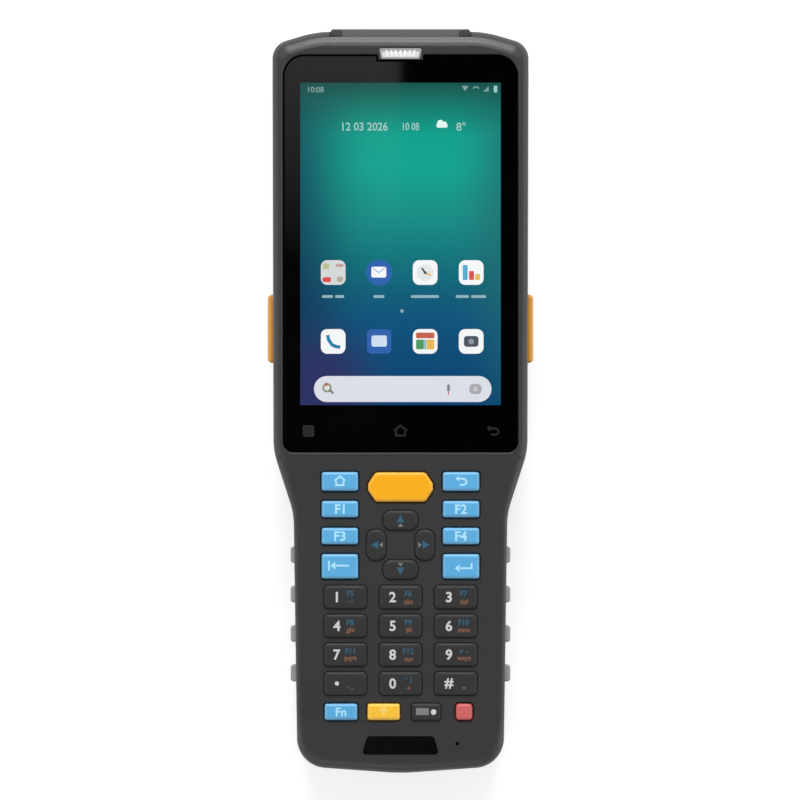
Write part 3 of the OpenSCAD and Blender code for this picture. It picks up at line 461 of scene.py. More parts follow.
class Stock:
    """Every finish on the terminal."""

    HOUSING = MouldedPlastic("abs_pc_housing_spark_grain", "#202021", 0.42, 0.42, cast="#303031")
    BACK = MouldedPlastic("abs_pc_back_spark_grain", "#1f1f20", 0.45, 0.42, cast="#2e2e2f")
    BUMPER = RubberSkin("tpu_bumper_overmould", "#262627", 0.62, 0.3, "#454546")
    BEZEL = MouldedPlastic("abs_bezel_satin", "#606061", 0.45, 0.4, 0.5, 0.01, "#6b6b6c")
    BEZEL_END = MouldedPlastic("abs_bezel_end", "#3a3a3b", 0.55, 0.3)
    # partly painted highlight: the ribs' grey and their pale edge tone are lifted so that their rolled
    # outer ends read as lit from the side
    RIB = RubberSkin("tpu_grip_rib", "#a2a3a4", 0.6, 0.3, "#d0d0d0")
    FLAP = RubberSkin("tpu_port_flap", "#222223", 0.65, 0.3, "#3c3c3d")
    SEAL = RubberSkin("silicone_seal_extruded", "#6b6e72", 0.6, 0.3, "#8d8f92")
    MAT = RubberSkin("silicone_key_mat_moulded", "#5c5f63", 0.6, 0.3, "#7d8084")
    BATTERY = MouldedPlastic("pc_battery_case_fine_grain", "#242425", 0.5, 0.35, 0.8, 0.025, "#333334")
    LATCH = MouldedPlastic("pom_latch_moulded", "#1f1f20", 0.45, 0.4, 0.5, 0.01, "#2c2c2d")
    BLACK = MouldedPlastic("pbt_black_moulded", "#1c1c1e", 0.5, 0.4, 0.5, 0.01, "#2a2a2c")
    GLASS = BackPrintedGlass("toughened_glass_black_print", "#020203", 0.02, 0.5)
    PICTURE = LitPanel("lcd_picture_bonded", "#124c7c", 0.02, 0.14, PANEL_STOPS, PANEL_POOLS)
    CLEAR_WHITE = ClearWindow("flash_lens_fresnel", "#efe9d6", 0.12, 0.5, 0.35)
    CAMERA = ClearWindow("camera_window_coated", "#08090c", 0.04, 0.6)
    LENS = ClearWindow("camera_lens_coated", "#1b2c52", 0.03, 0.5)
    SCANNER = ClearWindow("scan_window_red_tint", "#2a0a0e", 0.05, 0.6)
    INLAY = ClearWindow("pmma_inlay_gloss_black", "#060607", 0.12, 0.4)
    # black foam tape, also laid as painted shade on the floor of the gap round the cover glass
    TAPE = PrintedInk("black_foam_tape_and_gap_shade", "#050505", 0.9, 0.05, "#0a0a0a")
    GRILLE = WorkedMetal("grille_etched_nickel", "#9b9b9c", 0.45, 0.5, 0.0, FINE_LINES, 0.004, "#a8a8aa")
    GRILLE_BAR = WorkedMetal("grille_bar_polished", "#f4f4f4", 0.35, 0.5, 0.0, FINE_LINES, 0.004, "#e6e6e7")
    # painted light: the mesh behind the grille is drawn near white so that it reads bright down in its
    # recess, against the shade there
    GRILLE_BACK = WorkedMetal("grille_mesh_behind", "#e8e8e9", 0.6, 0.5, 0.0, (0.25,) * 3, 0.02, "#c4c5c6")
    FRAME = WorkedMetal("magnesium_frame_die_cast", "#8b8e91", 0.5, 0.5, 0.85, (1.6,) * 3, 0.03)
    SHIELD = WorkedMetal(
        "nickel_shell_pressed", "#c4c7ca", 0.32, 0.5, 1.0, (0.4, 6.0, 2.0), 0.004, "#aeb1b4"
    )
    DOME = WorkedMetal("stainless_dome_stamped", "#c9c9c4", 0.25, 0.5, 1.0, (1.0,) * 3, 0.003, "#b4b4b0")
    SCREW = WorkedMetal(
        "steel_screw_black_zinc", "#66696c", 0.38, 0.5, 1.0, (0.4, 0.4, 3.0), 0.006, "#515356"
    )
    BRASS = WorkedMetal("brass_insert_turned", "#c8a24a", 0.3, 0.5, 1.0, (2.0, 2.0, 0.2), 0.01, "#a9853a")
    ENGINE = WorkedMetal("zinc_engine_chassis_cast", "#55585c", 0.45, 0.5, 0.7, (0.9,) * 3, 0.02, "#46494c")
    SPEAKER = WorkedMetal("steel_speaker_basket", "#4a4b4d", 0.45, 0.5, 0.6, (0.7,) * 3, 0.01, "#3a3b3d")
    BOARD = SolderMask("fr4_board_solder_mask", "#1d4f36", 0.35, 0.5)
    PANEL_BACK = WorkedMetal(
        "lcd_back_plate_rolled", "#3a4046", 0.4, 0.5, 0.6, (0.5, 8.0, 1.0), 0.004, "#2b3238"
    )
    # painted shading: each cap's second colour tints its rolled edge, lighter on most caps and darker on
    # the red one
    ORANGE = SprayedCap("pc_cap_orange_sprayed", "#f7ad10", 0.42, 0.2, "#ffc251", 0.7)
    TRIGGER = SprayedCap("pc_trigger_orange_sprayed", "#d98a1c", 0.42, 0.15, "#f5c674", 0.7)
    BLUE = SprayedCap("pc_cap_blue_sprayed", "#59aadb", 0.42, 0.25, "#86bcde", 0.6)
    YELLOW = SprayedCap("pc_cap_yellow_sprayed", "#f9c138", 0.42, 0.25, "#fdd469", 0.6)
    RED = SprayedCap("pc_cap_red_sprayed", "#cc6260", 0.42, 0.25, "#bd5254", 0.6)
    DARK = SprayedCap("pc_cap_charcoal_sprayed", "#1f1f20", 0.6, 0.3, "#222223", 0.5, 0.04)
    INK_WHITE = PrintedInk("ink_white_pad_print", "#cfcfcf", 0.5, 0.3)
    INK_PALE = PrintedInk("ink_pale_on_blue", "#aee2ff", 0.5, 0.3, "#8fd0f4")
    INK_CREAM = PrintedInk("ink_cream_on_yellow", "#fbdc82", 0.5, 0.3, "#f3b929")
    INK_BLUE = PrintedInk("ink_blue_pad_print", "#2c5a73", 0.5, 0.3)
    INK_AMBER = PrintedInk("ink_amber_pad_print", "#80583c", 0.5, 0.3)
    INK_GREY = PrintedInk("ink_grey_pad_print", "#7d7d7e", 0.5, 0.3)


def tint(name: str, colour: str) -> ScreenTint:
    """A tint of the screen's picture, by its name and colour."""
    return ScreenTint(f"screen_{name}", colour, 0.02, 0.5)


class Tint:
    """The tints of the signs on the screen and of the touch signs below it."""

    STATUS, DATE = tint("status_grey", "#7b9f99"), tint("date_grey", "#98c8bf")
    CLOUD, PAGER = tint("cloud", "#dff2ee"), tint("pager_dot", "#7fa6b8")
    LABEL, TOUCH = tint("label_grey", "#8fb3bd"), tint("touch_grey", "#28282a")
    WHITE, GREY = tint("tile_white", "#f4f6f7"), tint("tile_grey", "#d4d9d8")
    BLUE, FOLD = tint("tile_blue", "#2f62ae"), tint("fold_sky", "#9dbbe4")
    NOTE, TEAL = tint("note_pale", "#cfe0f4"), tint("mark_teal", "#2c7fa6")
    DARK, RED = tint("mark_dark", "#4d5660"), tint("mark_red", "#d8504b")
    AMBER, GREEN = tint("mark_amber", "#e7b85a"), tint("mark_green", "#4f9a63")
    OLIVE, ROSE = tint("mark_olive", "#bcbf92"), tint("mark_rose", "#c79a97")
    BARK, DIAL = tint("mark_bark", "#b3ac98"), tint("dial_mist", "#e2e6e6")
    SKY, BRICK = tint("mark_sky", "#58a8cc"), tint("mark_brick", "#c9614f")
    HUB, LENS = tint("mark_hub", "#7fb2c4"), tint("lens_pale", "#8c98a3")
    BAR, MOSS = tint("bar_pale", "#dcdfe8"), tint("mark_moss", "#8d9a72")
    SLATE, MIST = tint("mark_slate", "#7a8290"), tint("mark_mist", "#a9a9ae")
    MIST_PALE = tint("mark_mist_pale", "#c4c4c8")


# --- shapes ---------------------------------------------------------------------------------
class Cap(Enum):
    """How a loft's ends are closed: strips across a symmetrical outline, or one face."""

    STRIPS = 0
    FACE = 1


class Axes(Enum):
    """Which of a shape's axes become X, Y and Z when it is laid down."""

    ALONG_X = (2, 0, 1)
    ALONG_Y = (0, 2, 1)
    KEPT = (0, 1, 2)


def corner_arc(a: Array, b: Array, c: Array, radius: float, count: int) -> Array:
    """Points of the arc that rounds the corner at b, between a and c.

    The arc's middle lies on the corner's bisector, at the radius over the sine of half the
    angle, and it touches both sides.

    Args:
        a: the point before the corner.
        b: the corner.
        c: the point after the corner.
        radius: the arc's radius.
        count: how many pieces the arc has.

    Returns:
        The points, count and one more of them.
    """
    u, v = (a - b) / np.linalg.norm(a - b), (c - b) / np.linalg.norm(c - b)
    half = math.acos(float(np.clip(u @ v, -1, 1))) / 2
    middle = b + (u + v) / np.linalg.norm(u + v) * radius / math.sin(half)
    first = b + u * radius / math.tan(half) - middle
    last = b + v * radius / math.tan(half) - middle
    start = math.atan2(first[1], first[0])
    turn = (math.atan2(last[1], last[0]) - start + 3 * math.pi) % (2 * math.pi) - math.pi
    angle = start + turn * np.linspace(0, 1, count + 1)
    return middle + radius * np.stack([np.cos(angle), np.sin(angle)], 1)


def rounded(corners: Sequence[tuple[float, float, float, int]]) -> Array:
    """A closed outline from corners, each given as x, y, radius and number of pieces.

    Args:
        corners: the corners, in order.

    Returns:
        The outline's points.
    """
    at = np.array([q[:2] for q in corners], float)
    back, ahead = np.roll(at, 1, 0), np.roll(at, -1, 0)
    return np.concatenate([corner_arc(back[i], at[i], ahead[i], *q[2:]) for i, q in enumerate(corners)])


def round_rect(width: float, height: float, radius: float, count: int = 6) -> Array:
    """A rectangle with round corners about the origin, clockwise from its top right."""
    x, y = width / 2, height / 2
    return rounded([(s * x, t * y, radius, count) for s, t in ((1, 1), (1, -1), (-1, -1), (-1, 1))])


def round_disc(radius: float, count: int = 32) -> Array:
    """A circle about the origin, clockwise."""
    angle = np.linspace(math.pi / 2, -3 * math.pi / 2, count, endpoint=False)
    return radius * np.stack([np.cos(angle), np.sin(angle)], 1)


def mirrored(half: Sequence[tuple[float, ...]]) -> list[tuple[float, ...]]:
    """The corners of an outline's other half, in the order in which they follow the first."""
    return [(-x, *rest) for x, *rest in half[::-1]]


def inset(path: Array, distance: float | Array) -> Array:
    """Moves a closed clockwise outline inwards.

    Each point moves along the sum of its two edges' normals, over one plus their dot product,
    so that both edges move by the same distance.

    Args:
        path: the outline.
        distance: how far, negative for outwards, one for all points or a column of them.

    Returns:
        The moved outline.
    """
    before, after = path - np.roll(path, 1, 0), np.roll(path, -1, 0) - path
    before = before / np.linalg.norm(before, axis=1, keepdims=True)
    after = after / np.linalg.norm(after, axis=1, keepdims=True)
    n1 = np.stack([before[:, 1], -before[:, 0]], 1)
    n2 = np.stack([after[:, 1], -after[:, 0]], 1)
    return path + distance * (n1 + n2) / (1 + (n1 * n2).sum(1, keepdims=True))


def raised(path: Array, z: float | Array) -> Array:
    """Gives a flat outline its height, one for all its points or one for each."""
    return np.column_stack([path, np.broadcast_to(z, len(path))])


def quad_grid(rows: int, columns: int, rows_close: bool, columns_close: bool) -> list[list[int]]:
    """The faces of a grid of points, stored row by row.

    Args:
        rows: how many rows there are.
        columns: how many points a row has.
        rows_close: whether the last row joins the first.
        columns_close: whether the last point of a row joins its first.

    Returns:
        The faces.
    """
    u = np.arange(columns if columns_close else columns - 1)
    v = np.arange(rows if rows_close else rows - 1)[:, None]
    w, x = (v + 1) % rows * columns, (u + 1) % columns
    return np.stack([v * columns + u, w + u, w + x, v * columns + x], -1).reshape(-1, 4).tolist()


def loft(rings: Sequence[Array], cap: Cap = Cap.STRIPS) -> Shape:
    """A closed solid through rings of points, from the lowest to the highest.

    Strips join point i of the end rings to the point as far from the ring's other end.

    Args:
        rings: clockwise rings of the same even number of points.
        cap: how the ends are closed.

    Returns:
        Points and faces.
    """
    k, n = len(rings), len(rings[0])
    if cap is Cap.STRIPS:
        a = np.arange(n // 2 - 1)
        low = np.stack([n - 1 - a, a, a + 1, n - 2 - a], -1)
        ends = np.concatenate([low, low[:, ::-1] + (k - 1) * n]).tolist()
    else:
        ends = [list(range(n)), [*range(k * n - 1, (k - 1) * n - 1, -1)]]
    return np.concatenate(list(rings)), quad_grid(k, n, False, True) + ends


def plate(path: Array, z0: float, z1: float, ease: float = 0.0) -> Shape:
    """An outline given a thickness, its upper edge eased by a small chamfer.

    Args:
        path: the outline.
        z0: the height of its foot.
        z1: the height of its top.
        ease: the chamfer's width.

    Returns:
        The closed shape.
    """
    rings = [raised(path, z0), raised(path, z1 - ease)]
    if ease:
        rings.append(raised(inset(path, ease), z1))
    return loft(rings, Cap.FACE)


def box(x0: float, x1: float, y0: float, y1: float, z0: float, z1: float) -> Shape:
    """A plain block between its lowest and highest corner."""
    return plate(np.array([[x1, y1], [x1, y0], [x0, y0], [x0, y1]], float), z0, z1)


def rod(x: float, y: float, radius: float, z0: float, z1: float, count: int = 32) -> Shape:
    """A round bar along Z, at x and y."""
    return plate(round_disc(radius, count) + [x, y], z0, z1)


def laid(shape: Shape, axes: Axes, flip: bool = False) -> Shape:
    """Lays a shape along other axes, and may mirror it along X after that."""
    order = list(axes.value)
    return shape[0][:, order] * ([-1, 1, 1] if flip else [1, 1, 1]), shape[1]


def moved(shape: Shape, x: float = 0.0, y: float = 0.0, z: float = 0.0) -> Shape:
    """Moves a shape."""
    return shape[0] + np.array([x, y, z]), shape[1]


def joined(shapes: Sequence[Shape]) -> Shape:
    """Puts closed shapes together as one, each with its faces pointing outwards.

    Args:
        shapes: the closed shapes.

    Returns:
        One shape with all their points and faces.
    """
    shapes = [outward(s) for s in shapes]
    starts = np.cumsum([0] + [len(s[0]) for s in shapes[:-1]])
    faces = [[int(v + o) for v in f] for s, o in zip(shapes, starts) for f in s[1]]
    return np.concatenate([s[0] for s in shapes]), faces


def band(path: Array, profile: Array, kept: Array | None = None) -> Shape:
    """Sweeps a profile along an outline.

    Profile point v is an inset and a height, and point u of the path moved inwards by that
    inset stands at that height, so the surface is the path's inset by the profile, u by v.

    Args:
        path: the whole closed outline.
        profile: the closed profile, as inset and height.
        kept: which points the sweep covers, or None for all of them, all the way round.

    Returns:
        Points and faces.
    """
    order = np.arange(len(path))
    if kept is not None:
        order = np.flatnonzero(kept)
        gap = int(np.argmax(np.diff(np.append(order, order[0] + len(path)))))
        order = np.roll(order, -gap - 1)
    grid = np.concatenate([raised(inset(path, d)[order], z) for d, z in profile])
    k, n = len(profile), len(order)
    faces = quad_grid(k, n, True, kept is None)
    if kept is not None:
        faces += [[i * n for i in range(k)][::-1], [i * n + n - 1 for i in range(k)]]
    return grid, faces


def quarter_roll(path: Array, z0: float, z1: float, reach: float, count: int) -> list[Array]:
    """So many rings that roll an outline over, in by the reach and up from z0 to a top at z1."""
    turns = np.linspace(0, math.pi / 2, count + 1)[1:]
    return [raised(inset(path, reach * (1 - math.cos(t))), z0 + (z1 - z0) * math.sin(t)) for t in turns]


def volume(shape: Shape) -> float:
    """The signed volume of a closed shape: the sum of its face fans' tetrahedra.

    Args:
        shape: the closed shape.

    Returns:
        The volume, below 0 if the faces point inwards.
    """
    points, faces = shape
    total = 0.0
    for size in {len(f) for f in faces}:
        ring = points[np.array([f for f in faces if len(f) == size])]
        a, b, c = ring[:, :1], ring[:, 1:-1], ring[:, 2:]
        total += float((np.cross(a, b) * c).sum() / 6)
    return total


def outward(shape: Shape) -> Shape:
    """Turns a closed shape's faces outwards where they point inwards."""
    return (shape[0], [f[::-1] for f in shape[1]]) if volume(shape) < 0 else shape


def mesh_object(name: str, shape: Shape) -> Piece:
    """Makes an object from a shape, with its faces pointing outwards.

    Args:
        name: the object's name.
        shape: its shape, in millimetres.

    Returns:
        The object, in the scene.
    """
    points, faces = outward(shape)
    mesh = bpy.data.meshes.new(name)
    mesh.from_pydata((points * MM).tolist(), [], faces)
    mesh.update()
    made = bpy.data.objects.new(name, mesh)
    bpy.context.scene.collection.objects.link(made)
    return made


def carve(body: Piece, cutters: Sequence[Shape], how: str = "DIFFERENCE") -> None:
    """Cuts closed shapes out of a solid, or keeps what lies in them.

    Args:
        body: the solid, which is changed.
        cutters: the shapes, each closed and apart from the others of its own piece.
        how: DIFFERENCE or INTERSECT.
    """
    tools = [mesh_object(f"{body.name}_cutter", c) for c in cutters]
    for tool in tools:
        cut = body.modifiers.new("cut", "BOOLEAN")
        cut.object, cut.operation, cut.solver = tool, how, "MANIFOLD"
    graph = bpy.context.evaluated_depsgraph_get()
    result = bpy.data.meshes.new_from_object(body.evaluated_get(graph))
    body.modifiers.clear()
    old, body.data = body.data, result
    used = [old, *(tool.data for tool in tools)]
    for tool in tools:
        bpy.data.objects.remove(tool)
    for mesh in used:
        bpy.data.meshes.remove(mesh)


# --- putting pieces in place ----------------------------------------------------------------
def ease_edges(piece: Piece, width: float, angle: float) -> None:
    """Rounds the edges that turn by more than an angle in degrees; a width of 0 leaves them.

    Args:
        piece: the object.
        width: the rounding's width, in millimetres.
        angle: the turn from which an edge is rounded, in degrees.
    """
    if width:
        edge = piece.modifiers.new("eased_edges", "BEVEL")
        edge.width, edge.segments, edge.limit_method = width * MM, 2, "ANGLE"
        edge.angle_limit, edge.use_clamp_overlap = math.radians(angle), True


def smooth(piece: Piece, angle: float = 32.0, ease: float = 0.0) -> None:
    """Shades a piece smoothly, keeps its edges and may round them.

    Args:
        piece: the object.
        angle: the turn from which an edge stays sharp, in degrees.
        ease: the width of the rounding on those edges, in millimetres.
    """
    piece.data.shade_smooth()
    piece.data.set_sharp_from_angle(angle=math.radians(angle))
    ease_edges(piece, ease, angle)
    piece.modifiers.new("even_shading", "WEIGHTED_NORMAL").keep_sharp = True


def seat(
    piece: Piece, finishes: Sequence[Finish], body: str = "terminal", node: str = ""
) -> None:
    """Gives a piece its finishes and its body, and reports it.

    Args:
        piece: the object, in its place.
        finishes: one finish for each of the mesh's material numbers.
        body: the body that it moves with.
        node: the model's node that it stands for, if any.
    """
    piece.data.materials.clear()
    for finish in finishes:
        piece.data.materials.append(finish.material())
    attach(piece, body)
    if node:
        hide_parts(node)
    LOG.info("%s: %d faces on %s", piece.name, len(piece.data.polygons), body)


def dress(node: str, finish: Finish, ease: float = 0.0) -> None:
    """Gives a node of the model its finish, and may round its edges.

    Args:
        node: the node's name.
        finish: the finish.
        ease: the width of the rounding, in millimetres.
    """
    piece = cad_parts[node]
    if not piece.material_slots:
        piece.data.materials.append(None)
    for place in piece.material_slots:
        place.link = "OBJECT"
        place.material = finish.material()
    if ease:
        piece.modifiers.new("joined_faces", "WELD").merge_threshold = 0.0005 * MM
        ease_edges(piece, ease, 40)
    LOG.info("%s: dressed in %s", node, finish.name)


def mark_rim_shading(piece: Piece, values: Array) -> None:
    """Keeps for each point how far out on a rolled edge it lies, which its finish reads to paint shading
    there.
    """
    attribute = piece.data.attributes.new("rim_shading", "FLOAT", "POINT")
    attribute.data.foreach_set("value", values.astype(np.float32))


# --- marks: glyphs and lettering ------------------------------------------------------------
@dataclass(frozen=True, eq=False)
class Mark:
    """A filled outline in a sign, at dx and dy from the sign's middle."""

    path: Array
    finish: Finish
    dx: float = 0.0
    dy: float = 0.0
    level: int = 0


@dataclass(frozen=True)
class Letters:
    """Lettering in a sign, at dx and dy from the sign's middle."""

    text: str
    finish: Finish
    size: float
    dx: float = 0.0
    dy: float = 0.0


@dataclass
class MarkSheet:
    """Thin marks that lie on one flat face, each in one of the sheet's finishes."""

    name: str
    z: float
    depth: float
    weight: float = 0.012
    finishes: list[Finish] = field(default_factory=list)
    shapes: list[Shape] = field(default_factory=list)
    numbers: list[int] = field(default_factory=list)

    def add(self, shape: Shape, finish: Finish) -> None:
        """Adds one closed shape in a finish.

        Args:
            shape: the shape.
            finish: its finish.
        """
        if finish not in self.finishes:
            self.finishes.append(finish)
        self.shapes.append(outward(shape))
        self.numbers.append(self.finishes.index(finish))

    def patch(self, path: Array, x: float, y: float, finish: Finish, level: int = 0) -> None:
        """Adds a filled outline at x and y; a higher level lies on top of a lower one."""
        low = self.z + level * self.depth
        self.add(plate(path + [x, y], low, low + self.depth), finish)

    def letters(
        self, text: str, size: float, x: float, y: float, finish: Finish, stretch: float = 1.0
    ) -> None:
        """Adds lettering about x and y, of a given height of its capitals."""
        points, faces = lettering(text, self.weight)
        self.add((points * [size * stretch, size, self.depth] + [x, y, self.z], faces), finish)

    def sign(self, marks: Sequence[Mark | Letters], x: float, y: float, level: int = 0) -> None:
        """Adds a sign's marks about x and y, from a level upwards.

        Args:
            marks: the sign's outlines and lettering.
            x: the sign's middle along X.
            y: the sign's middle along Y.
            level: the level of its lowest mark.
        """
        for m in marks:
            if isinstance(m, Letters):
                self.letters(m.text, m.size, x + m.dx, y + m.dy, m.finish)
            else:
                self.patch(m.path, x + m.dx, y + m.dy, m.finish, level + m.level)

    def build(self, slot: str, body: str = "terminal", node: str = "") -> None:
        """Makes the sheet's one mesh and seats it.

        Args:
            slot: the record's material slot, which is not used.
            body: the body that it rides on.
            node: the node that it stands for, if any.
        """
        if self.shapes:
            made = mesh_object(self.name, joined(self.shapes))
            seat(made, self.finishes, body, node)
            numbers = np.repeat(self.numbers, [len(s[1]) for s in self.shapes])
            made.data.polygons.foreach_set("material_index", numbers)
            made.data.update()


def stroke(path: Sequence[tuple[float, float]], width: float) -> Array:
    """The outline of a line with a width: the path moved to both sides along its mitres.

    Args:
        path: the line's points.
        width: its width.

    Returns:
        The outline's points.
    """
    path = np.array(path, float)
    step = np.diff(path, axis=0)
    step = step / np.linalg.norm(step, axis=1, keepdims=True)
    side = np.stack([-step[:, 1], step[:, 0]], 1)
    first, second = np.vstack([side[:1], side]), np.vstack([side, side[-1:]])
    mitre = (first + second) / (1 + (first * second).sum(1, keepdims=True))
    return np.concatenate([path + mitre * width / 2, (path - mitre * width / 2)[::-1]])


def lettering(text: str, weight: float) -> Shape:
    """Lettering in the built-in typeface, centred, its capitals one unit high, one unit thick.

    Args:
        text: the characters.
        weight: how far each stroke is grown to both sides, as a share of the type size.

    Returns:
        Points and faces.
    """
    curve = bpy.data.curves.new("lettering", "FONT")
    curve.body, curve.size, curve.resolution_u = text, 1.0, 3
    curve.extrude, curve.offset = 0.5, weight
    holder = bpy.data.objects.new("lettering", curve)
    mesh = bpy.data.meshes.new_from_object(holder)
    points = np.zeros(len(mesh.vertices) * 3)
    mesh.vertices.foreach_get("co", points)
    faces = [list(p.vertices) for p in mesh.polygons]
    bpy.data.objects.remove(holder)
    bpy.data.curves.remove(curve)
    bpy.data.meshes.remove(mesh)
    points = points.reshape(-1, 3)
    middle = (points.min(0) + points.max(0)) / 2
    capital = 0.69  # the height of a capital in this typeface, at size 1
    return (points - [middle[0], middle[1], -0.5]) * [1 / capital, 1 / capital, 1], faces


GLYPH_HOME = (
    ((-1.0, 0.05), (0.0, 0.9), (1.0, 0.05)),
    ((-0.68, 0.1), (-0.68, -0.75), (0.68, -0.75), (0.68, 0.1)),
)
GLYPH_BACK = ((-0.5, 0.45), (0.45, 0.45), (0.85, 0.15), (0.85, -0.35), (0.45, -0.65), (-0.3, -0.65))
ARROW_HEAD = ((-1.0, 0.0), (0.0, 0.8), (0.0, -0.8))


# --- the body -------------------------------------------------------------------------------
@dataclass(frozen=True)
class BodyOutline:
    """The terminal's outline from the front, as widths and heights of its corners."""

    head_w: float = 68.6
    shoulder_w: float = 68.0
    grip_w: float = 57.2
    tail_w: float = 55.2
    y_top: float = 98.9
    y_bot: float = -99.5
    shoulder_y: float = -13.5
    shoulder_len: float = 16.5
    brow_len: float = 11.8
    brow_drop: float = 3.5
    tip_rise: float = 1.95
    tip_r: float = 60.0
    step: float = 1.6

    def path(self, *levels: float) -> Array:
        """The closed outline, clockwise from its top right, the same on both sides.

        The right half is refined along its length and then mirrored, so that point i and
        the i-th point from the end lie opposite each other.

        Args:
            *levels: heights along Y at which the outline gets a point.

        Returns:
            The points.
        """
        turn = math.atan(2 * self.tip_rise / self.tail_w)
        tip_y = self.y_bot - self.tip_r * (1 / math.cos(turn) - 1)
        half = [
            (self.head_w / 2 - self.brow_len, self.y_top, 30.0, 8),
            (self.head_w / 2, self.y_top - self.brow_drop, 5.0, 16),
            (self.shoulder_w / 2, self.shoulder_y, 20.0, 8),
            (self.grip_w / 2, self.shoulder_y - self.shoulder_len, 20.0, 8),
            (self.tail_w / 2, tip_y + self.tip_rise, 8.0, 16),
        ]
        whole = rounded([*half, (0.0, tip_y, self.tip_r, 9), *mirrored(half)])
        right = whole[: len(whole) // 2]
        along = np.concatenate([[0], np.cumsum(np.linalg.norm(np.diff(right, axis=0), axis=1))])
        marks = np.interp(-np.array(levels, float), -right[:, 1], along)
        taken = np.concatenate([along, marks])
        more = np.arange(self.step, along[-1], self.step)
        more = more[np.abs(more[:, None] - taken).min(1) > self.step * 0.4]
        at = np.unique(np.round(np.concatenate([taken, more]), 4))
        right = np.stack([np.interp(at, along, right[:, i]) for i in (0, 1)], 1)
        return np.concatenate([right, right[::-1] * [-1, 1]])


@dataclass(frozen=True)
class Heights:
    """Heights above the bench that more than one piece uses, and the walls' thickness."""

    body: float = 27.0
    split: float = 17.0
    deck: float = 26.4
    deck_under: float = 24.8
    glass: float = 26.9
    ledge: float = 25.5
    ledge_under: float = 23.9
    key_top: float = 27.3
    bay_roof: float = 13.8
    floor: float = 2.2
    wall: float = 2.6
    waist: float = 1.2


Z = Heights()
OUTLINE = BodyOutline()
OUTSIDE = 101.0


def trapezoid(top: float, foot: float, y1: float, y0: float, radius: float) -> Array:
    """A trapezoid with round corners, clockwise from its top right."""
    half = [(top / 2, y1, radius, 4), (foot / 2, y0, radius, 4)]
    return rounded([*half, *mirrored(half)])


GRILLE_FOOT, GRILLE_HEAD = 91.5, 94.3
GRILLE_PATH = trapezoid(11.4, 10.3, GRILLE_HEAD, GRILLE_FOOT, 0.4)
INLAY_PATH = trapezoid(17.6, 20.6, -89.7, -94.5, 0.8)


def glass_path(grow: float = 0.0) -> Array:
    """The cover glass's outline, with the notch in its top edge for the earpiece grille.

    Args:
        grow: how far it grows outwards.

    Returns:
        The outline's points.
    """
    notch_x, notch_y = 6.45 - grow, GRILLE_FOOT - 0.75 + grow
    x, top, foot = 31.0 + grow, 92.2 + grow, -13.3 - grow
    notch = [(notch_x, notch_y, 0.3, 2), (notch_x, top, 0.2, 2)]
    half = [*notch, (x, top, 5.3 + grow, 12), (x, foot, 2.4 + grow, 8)]
    return rounded([*half, *mirrored(half)])


def head_band(foot: float, profile: Array) -> Shape:
    """Sweeps a profile round the head, from a height along Y on one side to the other side."""
    path = OUTLINE.path(foot)
    return band(path, profile, path[:, 1] >= foot - TINY)


@dataclass(frozen=True)
class ScanHead:
    """The bumper round the head, the bezel of the scan window and what lies behind it."""

    foot_y: float = 73.5
    z0: float = 4.5
    z1: float = 21.5
    thick: float = 1.4
    edge_r: float = 0.6
    gap: float = 0.1
    bezel_w: float = 37.8
    proud: float = 0.6
    bezel_z0: float = 5.5
    bezel_z1: float = 25.0
    end_w: float = 3.2
    end_h: float = 2.5
    window_w: float = 26.0
    window_z0: float = 6.6
    window_z1: float = 14.6

    def room(self) -> Shape:
        """The seat for the bumper, cut into both housings.

        Returns:
            The closed shape.
        """
        low, high = self.z0 - self.gap, self.z1 + self.gap
        profile = np.array([[-1.0, low], [-1.0, high], [self.thick, high], [self.thick, low]])
        return head_band(self.foot_y - self.gap, profile)

    def bezel_side(self) -> list[list[float]]:
        """The corners of the bezel's right end from the front, from its face to its back."""
        x, y = self.bezel_w / 2, OUTLINE.y_top
        return [[x - 0.7, y + self.proud], [x, y - 0.3], [x, y - self.thick]]

    def bezel_path(self) -> Array:
        """The bezel's outline from the front: a bar with sloping ends."""
        half = self.bezel_side()
        return np.array([*half, *mirrored(half)])

    def bumper_shape(self) -> Shape:
        """The bumper: a rounded strip section swept round the head.

        Returns:
            The closed shape.
        """
        turn = np.linspace(0, math.pi / 2, 6)
        near, far = self.edge_r * (1 - np.sin(turn)), self.edge_r * (1 - np.cos(turn))
        lower, upper = np.stack([near, self.z0 + far], 1), np.stack([far, self.z1 - near], 1)
        back = [[self.thick, self.z1], [self.thick, self.z0]]
        return head_band(self.foot_y, np.concatenate([lower, upper, back]))

    def window_cutter(self) -> Shape:
        """The opening for the scan window, with its corners rounded."""
        hole = plate(round_rect(self.window_w, self.window_z1 - self.window_z0, 1.2), 90.0, OUTSIDE)
        return moved(laid(hole, Axes.ALONG_Y), z=(self.window_z0 + self.window_z1) / 2)

    def build(self) -> None:
        """Makes the bumper, the bezel and its ends, and dresses what lies behind them."""
        bumper = mesh_object("bumper_band", self.bumper_shape())
        carve(bumper, [self.window_cutter()])
        smooth(bumper)
        seat(bumper, [Stock.BUMPER], node="head_bumper")
        bezel = mesh_object("scan_bezel", plate(self.bezel_path(), self.bezel_z0, self.bezel_z1 - 0.5))
        carve(bezel, [self.window_cutter()])
        smooth(bezel, 30, 0.25)
        seat(bezel, [Stock.BEZEL])
        (_, face), _, (x, back) = side = self.bezel_side()
        inner = x - self.end_w
        corners = np.array([*side, [inner, back], [inner, face - 0.25]])
        end = plate(corners, self.bezel_z1 - self.end_h, self.bezel_z1)
        ends = mesh_object("bezel_ends", joined([end, laid(end, Axes.KEPT, flip=True)]))
        smooth(ends, 30, 0.2)
        seat(ends, [Stock.BEZEL_END])
        dress("scan_window", Stock.SCANNER, 0.15)
        dress("scan_engine", Stock.ENGINE, 0.15)


HEAD = ScanHead()


